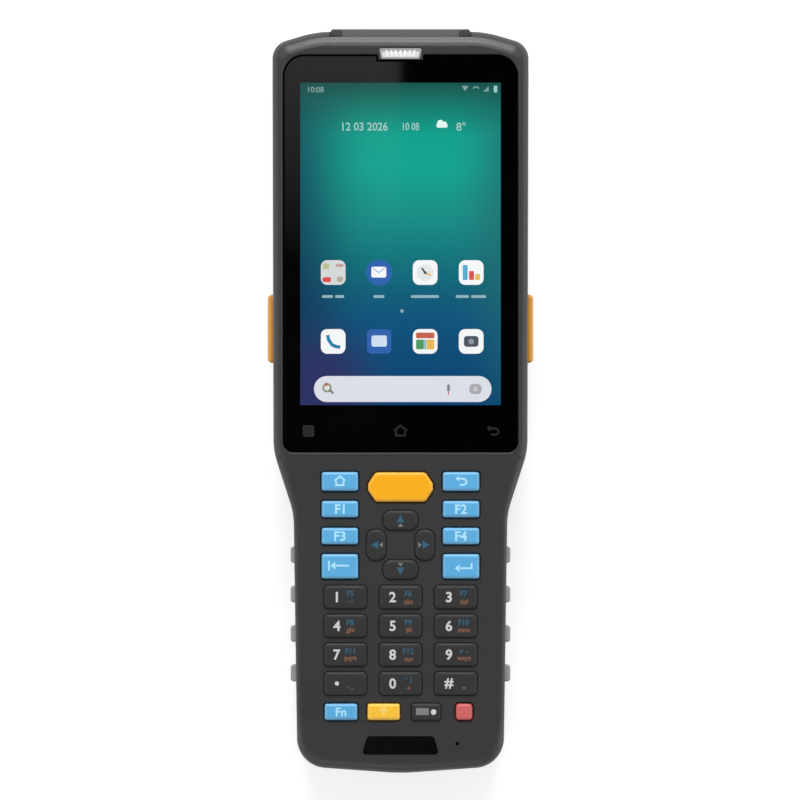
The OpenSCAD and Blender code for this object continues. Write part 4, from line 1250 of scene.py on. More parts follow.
@dataclass
class Housings:
    """The two moulded housings, with their openings."""

    edge: float = 3.0
    grip_edge: float = 1.5
    grip_y: tuple[float, ...] = (-94.0, -84.0, -32.0, -14.0)
    step: tuple[float, ...] = (-14.95, -14.75, -14.5, -14.28, -14.1)
    step_drops: tuple[float, ...] = (0.6, 0.53, 0.32, 0.1, 0.0)
    facet_y: float = 89.5
    facet_len: float = 6.0
    facet_insets: tuple[float, ...] = (0.0, 0.25, 0.7, 1.25, 1.5, 2.9, 3.7, 4.1)
    facet_drops: tuple[float, ...] = (4.0, 3.15, 2.2, 1.35, 1.12, 0.35, 0.08, 0.0)
    rear_inset: float = 4.0
    rear_rise: float = 5.0
    waist_y: tuple[float, ...] = (-90.0, -86.0, 2.0, 12.0)
    seam_in: float = 0.15
    seam_up: float = 0.18
    notch_y: tuple[float, float] = (71.1, 73.5)
    notch_depth: float = 0.25
    head_room_y: float = 6.5
    groove_in: tuple[float, float] = (1.6, 2.3)
    groove_z: tuple[float, float] = (16.3, 17.5)
    glass_gap: float = 0.48
    glass_brim: float = 0.85
    grille_gap: float = 0.1
    inlay_gap: float = 0.12
    inlay_depth: float = 0.5
    bezel_seat_z: float = 20.5
    microphone: tuple[float, float] = (15.2, -91.6)
    microphone_r: float = 0.5

    def front_shape(self) -> Shape:
        """The front housing before it is cut.

        Each ring is the outline moved inwards, and its drop below the front face is that of a
        quarter circle along the sides, which turns to a steep edge and a flat facet over the
        head. The quarter circle is tighter along the grip's sides. The step between the
        display and the deck is laid out on the innermost ring, so that it runs straight across.

        Returns:
            The closed shape.
        """
        reach = self.facet_insets[-1]
        plain = OUTLINE.path()
        half = len(plain) // 2
        inner = inset(plain, reach)[:half]
        marks = np.interp(-np.array(self.step), -inner[:, 1], -plain[:half, 1])
        path = OUTLINE.path(*-marks, *self.notch_y)
        tight = self.grip_edge / self.edge
        share = np.interp(path[:, 1], self.grip_y, [1, tight, tight, 1])[:, None]
        face_y = inset(path, reach * share)[:, 1]
        top = Z.body - np.interp(face_y, self.step, self.step_drops)
        lean = np.clip((path[:, 1] - self.facet_y) / self.facet_len, 0, 1)
        lean = lean * lean * (3 - 2 * lean)
        turns = np.linspace(0, math.pi / 2, 13)
        rings = [raised(inset(path, self.seam_in), Z.split), raised(path, Z.split + self.seam_up)]
        for d in np.union1d(self.edge * (1 - np.cos(turns)), self.facet_insets):
            arc = self.edge - math.sqrt(self.edge**2 - max(0.0, self.edge - d) ** 2)
            flat = float(np.interp(d, self.facet_insets, self.facet_drops))
            drop = arc * share[:, 0] * (1 - lean) + flat * lean
            rings.append(raised(inset(path, d * share), top - drop))
        return loft(rings)

    def front_cutters(self, keys: Sequence["KeyCap"]) -> list[Shape]:
        """What is cut out of the front housing: its hollow, the display and the openings.

        Args:
            keys: the keys, whose openings are cut.

        Returns:
            The shapes to cut.
        """
        ends = [self.step[0], self.step[-1]]
        path = OUTLINE.path(*ends)
        under = np.interp(path[:, 1], ends, [Z.deck_under, Z.ledge_under])
        walls, roof = inset(path, Z.wall), inset(path, Z.wall + 1)
        hollow = [raised(walls, Z.split - 1), raised(walls, under - 1), raised(roof, under)]
        bed, brim = glass_path(self.glass_gap), glass_path(self.glass_brim)
        pocket = [
            raised(bed, Z.ledge),
            raised(bed, Z.body - 0.3),
            raised(brim, Z.body + 0.02),
            raised(brim, Z.body + 1),
        ]
        return [
            loft(hollow),
            loft(pocket, Cap.FACE),
            HEAD.room(),
            plate(inset(GRILLE_PATH, -self.grille_gap), Z.ledge, Z.body + 1),
            plate(inset(INLAY_PATH, -self.inlay_gap), Z.deck - self.inlay_depth, Z.body + 1),
            rod(*self.microphone, self.microphone_r, Z.split, Z.body, 20),
            joined([k.opening() for k in keys]),
            plate(inset(HEAD.bezel_path(), -HEAD.gap), self.bezel_seat_z, Z.body + 1),
            self.notches(),
        ]

    def notches(self) -> Shape:
        """The shallow steps in both sides, just below the bumper's arms.

        Returns:
            Both steps as one shape.
        """
        x = OUTLINE.head_w / 2
        right = box(x - self.notch_depth, x + 1, *self.notch_y, HEAD.z0, HEAD.z1)
        return joined([right, laid(right, Axes.KEPT, flip=True)])

    def rear_shape(self) -> Shape:
        """The rear housing before it is cut: the outline along a quarter ellipse.

        The back is flat, and raised over the waist of the grip.

        Returns:
            The closed shape.
        """
        path = OUTLINE.path(*self.waist_y, *self.notch_y)
        back = np.interp(path[:, 1], self.waist_y, [0.0, Z.waist, Z.waist, 0.0])
        rings = []
        for t in np.linspace(0, math.pi / 2, 14):
            ring = inset(path, self.rear_inset * (1 - math.sin(t)))
            rings.append(raised(ring, back + self.rear_rise * (1 - math.cos(t))))
        seam = [raised(path, Z.split - self.seam_up), raised(inset(path, self.seam_in), Z.split)]
        return loft([*rings, *seam])

    def rear_cutters(self, back: "BackParts") -> list[Shape]:
        """What is cut out of the rear housing: its hollow, the bay and the openings.

        Args:
            back: the pieces whose openings are cut.

        Returns:
            The shapes to cut.
        """
        walls = inset(OUTLINE.path(), Z.wall)
        hollow = loft([raised(walls, Z.bay_roof), raised(walls, Z.split + 1)])
        head = inset(OUTLINE.path(self.head_room_y), Z.wall)
        head = head[head[:, 1] >= self.head_room_y]
        head_room = loft([raised(head, Z.floor), raised(head, Z.bay_roof + 1)])
        (d0, d1), (z0, z1) = self.groove_in, self.groove_z
        groove = band(OUTLINE.path(), np.array([[d0, z0], [d0, z1], [d1, z1], [d1, z0]]))
        return [hollow, head_room, HEAD.room(), groove, self.notches(), *back.cutters()]

    def build(self, keys: Sequence["KeyCap"], back: "BackParts") -> None:
        """Makes both housings.

        Args:
            keys: the keys, whose openings are cut.
            back: the pieces in the back and sides, whose openings are cut.
        """
        for side, shape, cutters, finish in (
            ("front", self.front_shape(), self.front_cutters(keys), Stock.HOUSING),
            ("rear", self.rear_shape(), self.rear_cutters(back), Stock.BACK),
        ):
            shell = mesh_object(f"{side}_shell", shape)
            carve(shell, cutters)
            smooth(shell)
            seat(shell, [finish], node=f"{side}_housing")


# --- the display ----------------------------------------------------------------------------
class Spot(Enum):
    """What a tile on the screen shows: each is a plain generic sign."""

    FOLDER = (
        Mark(round_rect(1.7, 1.5, 0.4, 4), Tint.OLIVE, -1.9, 1.7),
        Mark(round_rect(2.1, 0.8, 0.3, 4), Tint.ROSE, 1.7, 1.9),
        Mark(round_rect(2.3, 1.3, 0.5, 4), Tint.RED, -1.7, -1.9),
        Mark(round_rect(1.6, 1.4, 0.4, 4), Tint.BARK, 1.8, -1.8),
    )
    LETTER = (
        Mark(round_rect(4.0, 2.9, 0.5, 5), Tint.WHITE, -0.1, 0.1),
        Mark(stroke([(-1.7, 1.1), (-0.1, -0.1), (1.5, 1.1)], 0.3), Tint.FOLD, 0.0, 0.1, 1),
    )
    CLOCK = (
        Mark(round_disc(2.2, 40), Tint.DIAL),
        Mark(stroke([(-0.9, 1.2), (0.0, -0.1)], 0.5), Tint.DARK, level=1),
        Mark(stroke([(0.0, -0.1), (1.5, -0.7)], 0.45), Tint.AMBER, level=1),
        Mark(round_disc(0.4, 16), Tint.DARK, 0.0, -0.05, 2),
    )
    CHART = (
        Mark(round_rect(1.3, 4.0, 0.2, 3), Tint.SKY, -1.6, 0.0),
        Mark(round_rect(1.3, 2.4, 0.2, 3), Tint.RED, 0.1, -0.8),
        Mark(round_rect(1.3, 1.6, 0.2, 3), Tint.AMBER, 1.7, -1.2),
    )
    HANDSET = (
        Mark(stroke([(-1.5, 1.7), (-1.2, 0.4), (-0.3, -0.9), (0.8, -1.4), (1.9, -1.5)], 0.9), Tint.TEAL),
    )
    NOTE = (Mark(round_rect(4.1, 3.0, 0.5, 5), Tint.NOTE, 0.0, 0.1),)
    CALENDAR = (
        Mark(round_rect(4.9, 1.5, 0.3, 4), Tint.BRICK, 0.0, 1.6),
        Mark(round_rect(2.1, 2.6, 0.3, 4), Tint.GREEN, -1.4, -0.8),
        Mark(round_rect(2.1, 2.6, 0.3, 4), Tint.AMBER, 1.4, -0.8),
        Mark(round_rect(0.5, 2.6, 0.1, 2), Tint.HUB, 0.0, -0.8),
    )
    LENS = (
        Mark(round_rect(3.9, 2.9, 0.8, 5), Tint.DARK),
        Mark(round_disc(0.75, 24), Tint.LENS, level=1),
    )


SCREEN_PX = {
    "clock": (316, 89.5), "wedge": (465, 88.5), "arc": (476, 88.5), "signal": (486, 89),
    "cell": (495.5, 89),
    "date": (365, 126.5), "small_clock": (411, 126.5), "cloud": (442, 124.5), "degrees": (461, 126.5),
    "pager": (402, 311), "bar_foot": (314, 402), "bar_head": (491.5, 376), "glass": (327.0, 388.5),
    "pen": (448.5, 389), "eye": (475.5, 389),
    "menu_key": (308.5, 431), "home_key": (400.5, 431), "back_key": (493, 431),
}
TILE_ROWS_PX = (
    (272.5, (Spot.FOLDER, Spot.LETTER, Spot.CLOCK, Spot.CHART)),
    (341.4, (Spot.HANDSET, Spot.NOTE, Spot.CALENDAR, Spot.LENS)),
)
TILE_COLUMNS_PX = (333.2, 379.2, 425.2, 471.2)
LABEL_ROW_PX = 296.5
LABELS_PX = ((333, (11, 9)), (379, (11,)), (425, (28,)), (471, (13, 15)))


@dataclass
class Display:
    """The cover glass, the earpiece grille and the picture on the panel."""

    px_size: float = 0.2673
    px_middle: tuple[float, float] = (400.5, 401)
    picture_x: float = 26.8
    picture_y0: float = -1.1
    picture_y1: float = 85.1
    layer: float = 0.008
    tile: float = 6.6
    label_h: float = 0.75
    label_gap: float = 0.6
    bevel_in: float = 0.06
    bevel_down: float = 0.08
    tape_shade_out: float = 0.46
    tape_shade_in: float = 0.03
    tape_shade_h: float = 0.06
    bar_count: int = 7
    bar_pitch: float = 1.22
    bar_lean: float = 0.04
    bar_half: tuple[float, float] = (0.34, 0.26)

    def px(self, x: float, y: float) -> tuple[float, float]:
        """A place on the screen's 800-wide grid as X and Y."""
        return (x - self.px_middle[0]) * self.px_size, (self.px_middle[1] - y) * self.px_size

    def at(self, name: str) -> tuple[float, float]:
        """The middle of a named sign as X and Y."""
        return self.px(*SCREEN_PX[name])

    def build(self) -> None:
        """Makes the glass, the grille, the picture and its marks."""
        path, low, high = glass_path(), Z.ledge, Z.glass
        sides = [raised(path, low), raised(path, high - self.bevel_down)]
        bevel = raised(inset(path, self.bevel_in), high)
        glass = mesh_object("cover_glass_plate", loft([*sides, bevel], Cap.FACE))
        smooth(glass, 50)
        seat(glass, [Stock.GLASS], node="cover_glass")
        # painted shade, partly: a black foam tape ring, such as holds the glass, fills the floor of the gap
        # round the glass so that the gap reads dark
        gap_shade_tape = mesh_object("glass_tape_gap_shade", plate(glass_path(self.tape_shade_out), low, low + self.tape_shade_h))
        carve(gap_shade_tape, [plate(glass_path(self.tape_shade_in), low - 1, low + 1)])
        seat(gap_shade_tape, [Stock.TAPE])
        x, y0, y1 = self.picture_x, self.picture_y0, self.picture_y1
        picture = mesh_object("panel_picture", box(-x, x, y0, y1, high - 0.3, high + self.layer))
        seat(picture, [Stock.PICTURE])
        self.grille()
        self.status_bar()
        self.tiles()
        self.search_bar()
        self.touch_keys()
        dress("lcd_module", Stock.PANEL_BACK)

    def grille(self) -> None:
        """Makes the earpiece grille: a frame, a mesh behind it and tapering bars."""
        sheet = MarkSheet("grille_bars", Z.glass - 0.5, 0.25)
        sheet.patch(inset(GRILLE_PATH, 0.02), 0, 0, Stock.GRILLE_BACK)
        low, high, wide = Z.glass - 0.9, Z.glass, 0.5
        frame_section = np.array([[0.0, low], [0.0, high], [wide, high], [wide, low]])
        sheet.add(band(GRILLE_PATH, frame_section), Stock.GRILLE)
        head, foot = GRILLE_HEAD - 0.4, GRILLE_FOOT + 0.4
        wide_up, wide_down = self.bar_half
        for i in range(self.bar_count):
            x = (i - self.bar_count // 2) * self.bar_pitch
            up, down = x * (1 + self.bar_lean), x * (1 - self.bar_lean)
            right = [[up + wide_up, head], [down + wide_down, foot]]
            left = [[down - wide_down, foot], [up - wide_up, head]]
            bar = np.array([*right, *left])
            sheet.add(plate(bar, Z.glass - 0.6, Z.glass - 0.02, 0.08), Stock.GRILLE_BAR)
        sheet.build("grille", node="earpiece_grille")

    def sheet(self, name: str) -> MarkSheet:
        """A sheet of marks on the picture."""
        return MarkSheet(name, Z.glass + self.layer, self.layer)

    def status_bar(self) -> None:
        """Draws the clock and the status signs, and the date line with its cloud."""
        sheet, faint, pale = self.sheet("screen_status"), Tint.STATUS, Tint.DATE
        sheet.letters("10:08", 1.45, *self.at("clock"), faint)
        sheet.patch(np.array([[-0.9, 0.7], [0.9, 0.7], [0.0, -0.7]]), *self.at("wedge"), faint)
        arc = stroke([(-0.8, 0.0), (-0.3, 0.45), (0.3, 0.45), (0.8, 0.0)], 0.3)
        sheet.patch(arc, *self.at("arc"), faint)
        sheet.patch(np.array([[0.7, 0.8], [0.7, -0.7], [-0.7, -0.7]]), *self.at("signal"), faint)
        sheet.patch(round_rect(0.95, 1.8, 0.2, 3), *self.at("cell"), pale)
        sheet.letters("12 03 2026", 2.1, *self.at("date"), pale, 0.92)
        sheet.letters("10 08", 2.0, *self.at("small_clock"), pale, 0.72)
        cloud_marks = (
            Mark(round_rect(3.0, 1.1, 0.5, 5), Tint.CLOUD, 0.0, -0.3),
            Mark(round_disc(0.85, 24), Tint.CLOUD, -0.4, 0.4, 1),
            Mark(round_disc(0.6, 24), Tint.CLOUD, 0.7, 0.2, 2),
        )
        sheet.sign(cloud_marks, *self.at("cloud"))
        sheet.letters("8°", 2.1, *self.at("degrees"), pale)
        sheet.patch(round_disc(0.5, 20), *self.at("pager"), Tint.PAGER)
        sheet.build("display")

    def tile_body(self, spot: Spot) -> Mark:
        """The plate that a tile's sign lies on.

        Args:
            spot: what the tile shows.

        Returns:
            The plate.
        """
        if spot is Spot.LETTER:
            return Mark(round_disc(self.tile / 2 + 0.2, 48), Tint.BLUE)
        if spot is Spot.NOTE:
            return Mark(round_rect(self.tile - 0.1, self.tile - 0.1, 1.1), Tint.BLUE)
        tone = Tint.GREY if spot is Spot.FOLDER else Tint.WHITE
        return Mark(round_rect(self.tile, self.tile, 1.7, 8), tone)

    def tiles(self) -> None:
        """Draws the two rows of tiles and the bars under the upper row."""
        sheet = self.sheet("screen_tiles")
        for y_px, spots in TILE_ROWS_PX:
            for x_px, spot in zip(TILE_COLUMNS_PX, spots):
                x, y = self.px(x_px, y_px)
                sheet.sign([self.tile_body(spot)], x, y)
                sheet.sign(spot.value, x, y, 1)
        for x_px, parts in LABELS_PX:
            x, y = self.px(x_px, LABEL_ROW_PX)
            left = x - (sum(parts) * self.px_size + self.label_gap * (len(parts) - 1)) / 2
            for part in parts:
                length = part * self.px_size
                sheet.patch(round_rect(length, self.label_h, 0.3, 3), left + length / 2, y, Tint.LABEL)
                left += length + self.label_gap
        sheet.build("display")

    def search_bar(self) -> None:
        """Draws the pale bar under the tiles, with its three small signs."""
        sheet = self.sheet("screen_search")
        (x0, y0), (x1, y1) = self.at("bar_foot"), self.at("bar_head")
        bar = round_rect(x1 - x0, y1 - y0, (y1 - y0) / 2 - 0.01, 14)
        sheet.patch(bar, (x0 + x1) / 2, (y0 + y1) / 2, Tint.BAR)
        for name, marks in (
            ("glass", (
                Mark(round_disc(1.25, 28), Tint.MOSS, 0.0, 0.2),
                Mark(round_disc(0.75, 24), Tint.BAR, 0.0, 0.2, 1),
                Mark(stroke([(0.85, -0.7), (1.7, -1.5)], 0.6), Tint.SLATE, 0.0, 0.2),
                Mark(round_disc(0.45, 20), Tint.BRICK, -0.2, 1.1, 2),
            )),
            ("pen", (
                Mark(round_rect(0.75, 1.9, 0.35, 4), Tint.SLATE, 0.0, 0.3),
                Mark(round_rect(0.3, 0.9, 0.1, 2), Tint.RED, 0.0, -1.1),
            )),
            ("eye", (
                Mark(round_rect(3.3, 2.7, 1.1, 6), Tint.MIST),
                Mark(round_disc(0.7, 20), Tint.MIST_PALE, level=1),
            )),
        ):
            sheet.sign(marks, *self.at(name), 1)
        sheet.build("display")

    def touch_keys(self) -> None:
        """Draws the three faint touch signs on the black border."""
        sheet, grey = self.sheet("touch_signs"), Tint.TOUCH
        home = [Mark(stroke(np.array(line) * (1.75, 1.6), 0.55), grey) for line in GLYPH_HOME]
        back_head = np.array([[-1.7, 0.7], [-0.7, 1.5], [-0.7, -0.1]])
        back = [Mark(stroke(np.array(GLYPH_BACK) * (1.7, 1.5), 0.5), grey), Mark(back_head, grey)]
        sheet.patch(round_rect(3.1, 3.1, 0.5, 4), *self.at("menu_key"), grey)
        sheet.sign(home, *self.at("home_key"))
        sheet.sign(back, *self.at("back_key"))
        sheet.build("cover_glass")


# --- the keypad -----------------------------------------------------------------------------
class KeyForm(Enum):
    """The outline of a key cap."""

    BAR = "bar"
    SCAN = "scan"


@dataclass
class KeyCap:
    """One key: a cap with a rolled edge, its hidden flange and its stem."""

    name: str
    finish: Finish
    slot: str
    legends: Sequence[Mark | Letters] = ()
    radius: float = 0.6
    form: KeyForm = KeyForm.BAR
    lip: float = 0.55
    flange_z: float = 23.9
    flange_top: float = 24.6
    stem_tip: float = 22.2
    stem_r: float = 1.2
    gap: float = 0.25
    brim: float = 0.5
    dark_brim: float = 0.3
    dark_flare: float = 0.14
    roll: float = 0.85
    roll_drop: float = 0.7
    ease_depth: float = 0.28
    scan_in: tuple[float, float] = (0.3, 0.1)
    scan_slope: float = 2.3
    scan_nose: float = 0.9
    scan_corners: tuple[float, float] = (1.2, 1.0)
    print_depth: float = 0.015
    print_weight: float = 0.026

    def __post_init__(self) -> None:
        """Reads the key's place and size from its node."""
        low, high = (np.array(corner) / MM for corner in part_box(f"key_{self.name}"))
        self.x, self.y = (float(c) for c in ((low + high) / 2)[:2])
        self.w, self.h = (float(c) - 2 * self.lip for c in (high - low)[:2])

    def outline(self, grow: float = 0.0) -> Array:
        """The cap's outline about the key's own middle, grown or drawn in.

        Args:
            grow: how far it grows outwards, or inwards if below 0.

        Returns:
            The outline's points.
        """
        if self.form is KeyForm.BAR:
            corner = max(self.radius + grow, 0.06)
            return round_rect(self.w + 2 * grow, self.h + 2 * grow, corner)
        x, y = self.w / 2 - self.scan_in[0], self.h / 2 - self.scan_in[1]
        flat, nose = self.w / 2 - self.scan_slope, self.scan_nose
        wide, tight = self.scan_corners
        half = [(flat, y, wide, 5), (x, nose, tight, 5), (x, -nose, tight, 5), (flat, -y, wide, 5)]
        return inset(rounded([*half, *mirrored(half)]), -grow)

    def opening(self) -> Shape:
        """The hole in the keypad deck: straight below, and eased at its upper edge.

        Returns:
            The closed shape.
        """
        ease = self.dark_brim if self.finish is Stock.DARK else self.brim
        hole, brim = (self.outline(grow) + [self.x, self.y] for grow in (self.gap, ease))
        straight = [raised(hole, Z.deck_under - 1.2), raised(hole, Z.deck - self.ease_depth)]
        return loft([*straight, raised(brim, Z.deck + 0.02), raised(brim, Z.body + 1)])

    def build(self) -> None:
        """Makes the key and prints its legends.

        The cap's rings roll in along a quarter ellipse, and each point keeps how far out it
        lies on that roll as the rim value, by which its finish paints shading on the roll.
        """
        top = Z.key_top - 0.02
        flare = self.dark_flare if self.finish is Stock.DARK else 0.0
        flange, skirt = self.outline(self.lip), self.outline(flare)
        sides = (
            (flange, self.flange_z), (flange, self.flange_top),
            (skirt, self.flange_top + 0.02), (skirt, Z.deck - 0.1),
        )
        rings = [raised(path, z) for path, z in sides]
        rim_shading = [1.0] * len(rings)
        for t in np.linspace(0, math.pi / 2, 9):
            d = (self.roll + flare) * (1 - math.cos(t))
            rings.append(raised(self.outline(flare - d), top - self.roll_drop * (1 - math.sin(t))))
            rim_shading.append(math.cos(t))
        stem = rod(0, 0, self.stem_r, self.stem_tip, self.flange_z, 20)
        piece = mesh_object(f"cap_{self.name}", moved(joined([loft(rings), stem]), self.x, self.y))
        mark_rim_shading(piece, np.concatenate([np.repeat(rim_shading, len(skirt)), np.ones(len(stem[0]))]))
        smooth(piece, 50)
        body = f"key_{self.name}"
        seat(piece, [self.finish], body, body)
        sheet = MarkSheet(f"legend_{self.name}", top, self.print_depth, self.print_weight)
        sheet.sign(self.legends, self.x, self.y)
        sheet.build(self.slot, body)


def line_mark(points: Sequence, size: float, ink: Finish, dx: float = 0.0, dy: float = 0.0) -> Mark:
    """A line in a key's legend, its points scaled by the sign's size."""
    return Mark(stroke(np.array(points) * size, 0.5), ink, dx, dy)


def area_mark(points: Sequence, size: float, ink: Finish, dx: float = 0.0, dy: float = 0.0) -> Mark:
    """A filled outline in a key's legend, its points scaled by the sign's size."""
    return Mark(np.array(points, float) * size, ink, dx, dy)


def digit_legend(digit: str, upper: str, lower: str, column: int) -> list[Letters]:
    """The legends of a numeric key: its digit, and up to two small ones beside it.

    Args:
        digit: the digit or sign.
        upper: the upper small one, if any.
        lower: the lower small one, if any.
        column: the key's column, from the left.

    Returns:
        The lettering.
    """
    left, right = (-2.25, -2.1, -1.8)[column], (1.3, 2.1, 2.15)[column]
    marks = [
        Letters(digit, Stock.INK_WHITE, 2.6, left),
        Letters(upper, Stock.INK_BLUE, 1.4, right, 0.95),
        Letters(lower, Stock.INK_AMBER, 1.25, right + 0.1, -1.25),
    ]
    return [m for m in marks if m.text]


def arrow_legend(quarter: int) -> list[Mark]:
    """The two heads on an arrow key, turned from the left by quarters, anticlockwise.

    Args:
        quarter: by how many quarters.

    Returns:
        The heads.
    """
    c, s = ((1, 0), (0, 1), (-1, 0), (0, -1))[quarter]
    marks = []
    for points, at, size, ink in (
        (((-1.0, 0.0), (0.9, 1.0), (0.9, -1.0)), -0.35, 1.05, Stock.INK_BLUE),
        (((-0.4, 0.0), (0.5, 0.7), (0.5, -0.7)), 1.25, 1.0, Stock.INK_GREY),
    ):
        turned = [(c * x - s * y, s * x + c * y) for x, y in points]
        marks.append(area_mark(turned, size, ink, c * at, s * at))
    return marks


@dataclass
class Keypad:
    """The keys, and the mat, domes and board under them."""

    uppers: tuple[str, ...] = ("F5", "F6", "F7", "F8", "F9", "F10", "F11", "F12", "+ -", "", "* /", "")
    lowers: tuple[str, ...] = (
        ". ,", "abc", "def", "ghi", "jkl", "mno", "pqrs", "tuv", "wxyz", "- _", "+", "="
    )
    names: tuple[str, ...] = ("1", "2", "3", "4", "5", "6", "7", "8", "9", "point", "0", "hash")
    keys: list[KeyCap] = field(default_factory=list)

    def lay_out(self) -> None:
        """Lists the keys with their finishes and legends."""
        pale, cream = Stock.INK_PALE, Stock.INK_CREAM
        home = [line_mark(line, 1.45, pale, 0.0, 0.1) for line in GLYPH_HOME]
        back = [line_mark(GLYPH_BACK, 1.5, pale, 0.1, 0.05), area_mark(ARROW_HEAD, 0.9, pale, -0.6, 0.72)]
        delete = [
            line_mark(((0, -1.0), (0, 1.0)), 1.3, pale, -2.9, 0.2),
            area_mark(ARROW_HEAD, 1.35, pale, -1.2, 0.2),
            line_mark(((-1.0, 0), (1.7, 0)), 1.3, pale, 0.2, 0.2),
        ]
        enter = [
            line_mark(((1.7, 1.1), (1.7, 0), (-0.9, 0)), 1.3, pale, 0.6, -0.5),
            area_mark(ARROW_HEAD, 1.3, pale, -0.4, -0.5),
        ]
        shift = [
            line_mark(((-0.9, 0.1), (0, 0.95), (0.9, 0.1)), 1.0, cream, 0.0, 0.1),
            line_mark(((0, 0.6), (0, -1.0)), 1.0, cream, 0.0, 0.1),
        ]
        light = [
            area_mark(((-1, 0.55), (1, 0.55), (1, -0.55), (-1, -0.55)), 1.7, Stock.INK_GREY, -1.0, 0.1),
            area_mark(round_disc(0.75, 20), 1.0, Stock.INK_WHITE, 2.0, -0.05),
        ]
        self.add_blue("home", home)
        self.add_blue("back", back)
        self.keys.append(KeyCap("scan", Stock.ORANGE, "key_orange", (), 1.0, KeyForm.SCAN))
        for i in range(1, 5):
            self.add_blue(f"f{i}", [Letters(f"F{i}", pale, 2.4)])
        self.add_blue("delete", delete)
        self.add_blue("enter", enter)
        for quarter, name in enumerate(("left", "down", "right", "up")):
            self.add_dark(name, arrow_legend(quarter), 2.0)
        for i, (name, upper, lower) in enumerate(zip(self.names, self.uppers, self.lowers)):
            digit = {"point": "•", "hash": "#"}.get(name, name)
            self.add_dark(name, digit_legend(digit, upper, lower, i % 3), 1.0)
        self.add_blue("fn", [Letters("Fn", pale, 2.2)])
        self.keys.append(KeyCap("shift", Stock.YELLOW, "key_yellow", shift))
        self.add_dark("light", light, 0.6)
        self.keys.append(KeyCap("power", Stock.RED, "key_red", (), 0.9))

    def add_blue(self, name: str, legends: Sequence[Mark | Letters]) -> None:
        """Lists a blue key."""
        self.keys.append(KeyCap(name, Stock.BLUE, "key_blue", legends))

    def add_dark(self, name: str, legends: Sequence[Mark | Letters], radius: float) -> None:
        """Lists a dark key, by its name, its legends and its corners' radius."""
        self.keys.append(KeyCap(name, Stock.DARK, "key_dark", legends, radius))

    def build(self) -> None:
        """Makes the keys, and dresses the inlay and what lies under them."""
        for key in self.keys:
            key.build()
        dress("trim_inlay", Stock.INLAY)
        dress("keypad_mat", Stock.MAT)
        dress("keypad_board", Stock.BOARD)
        dress("key_domes", Stock.DOME)


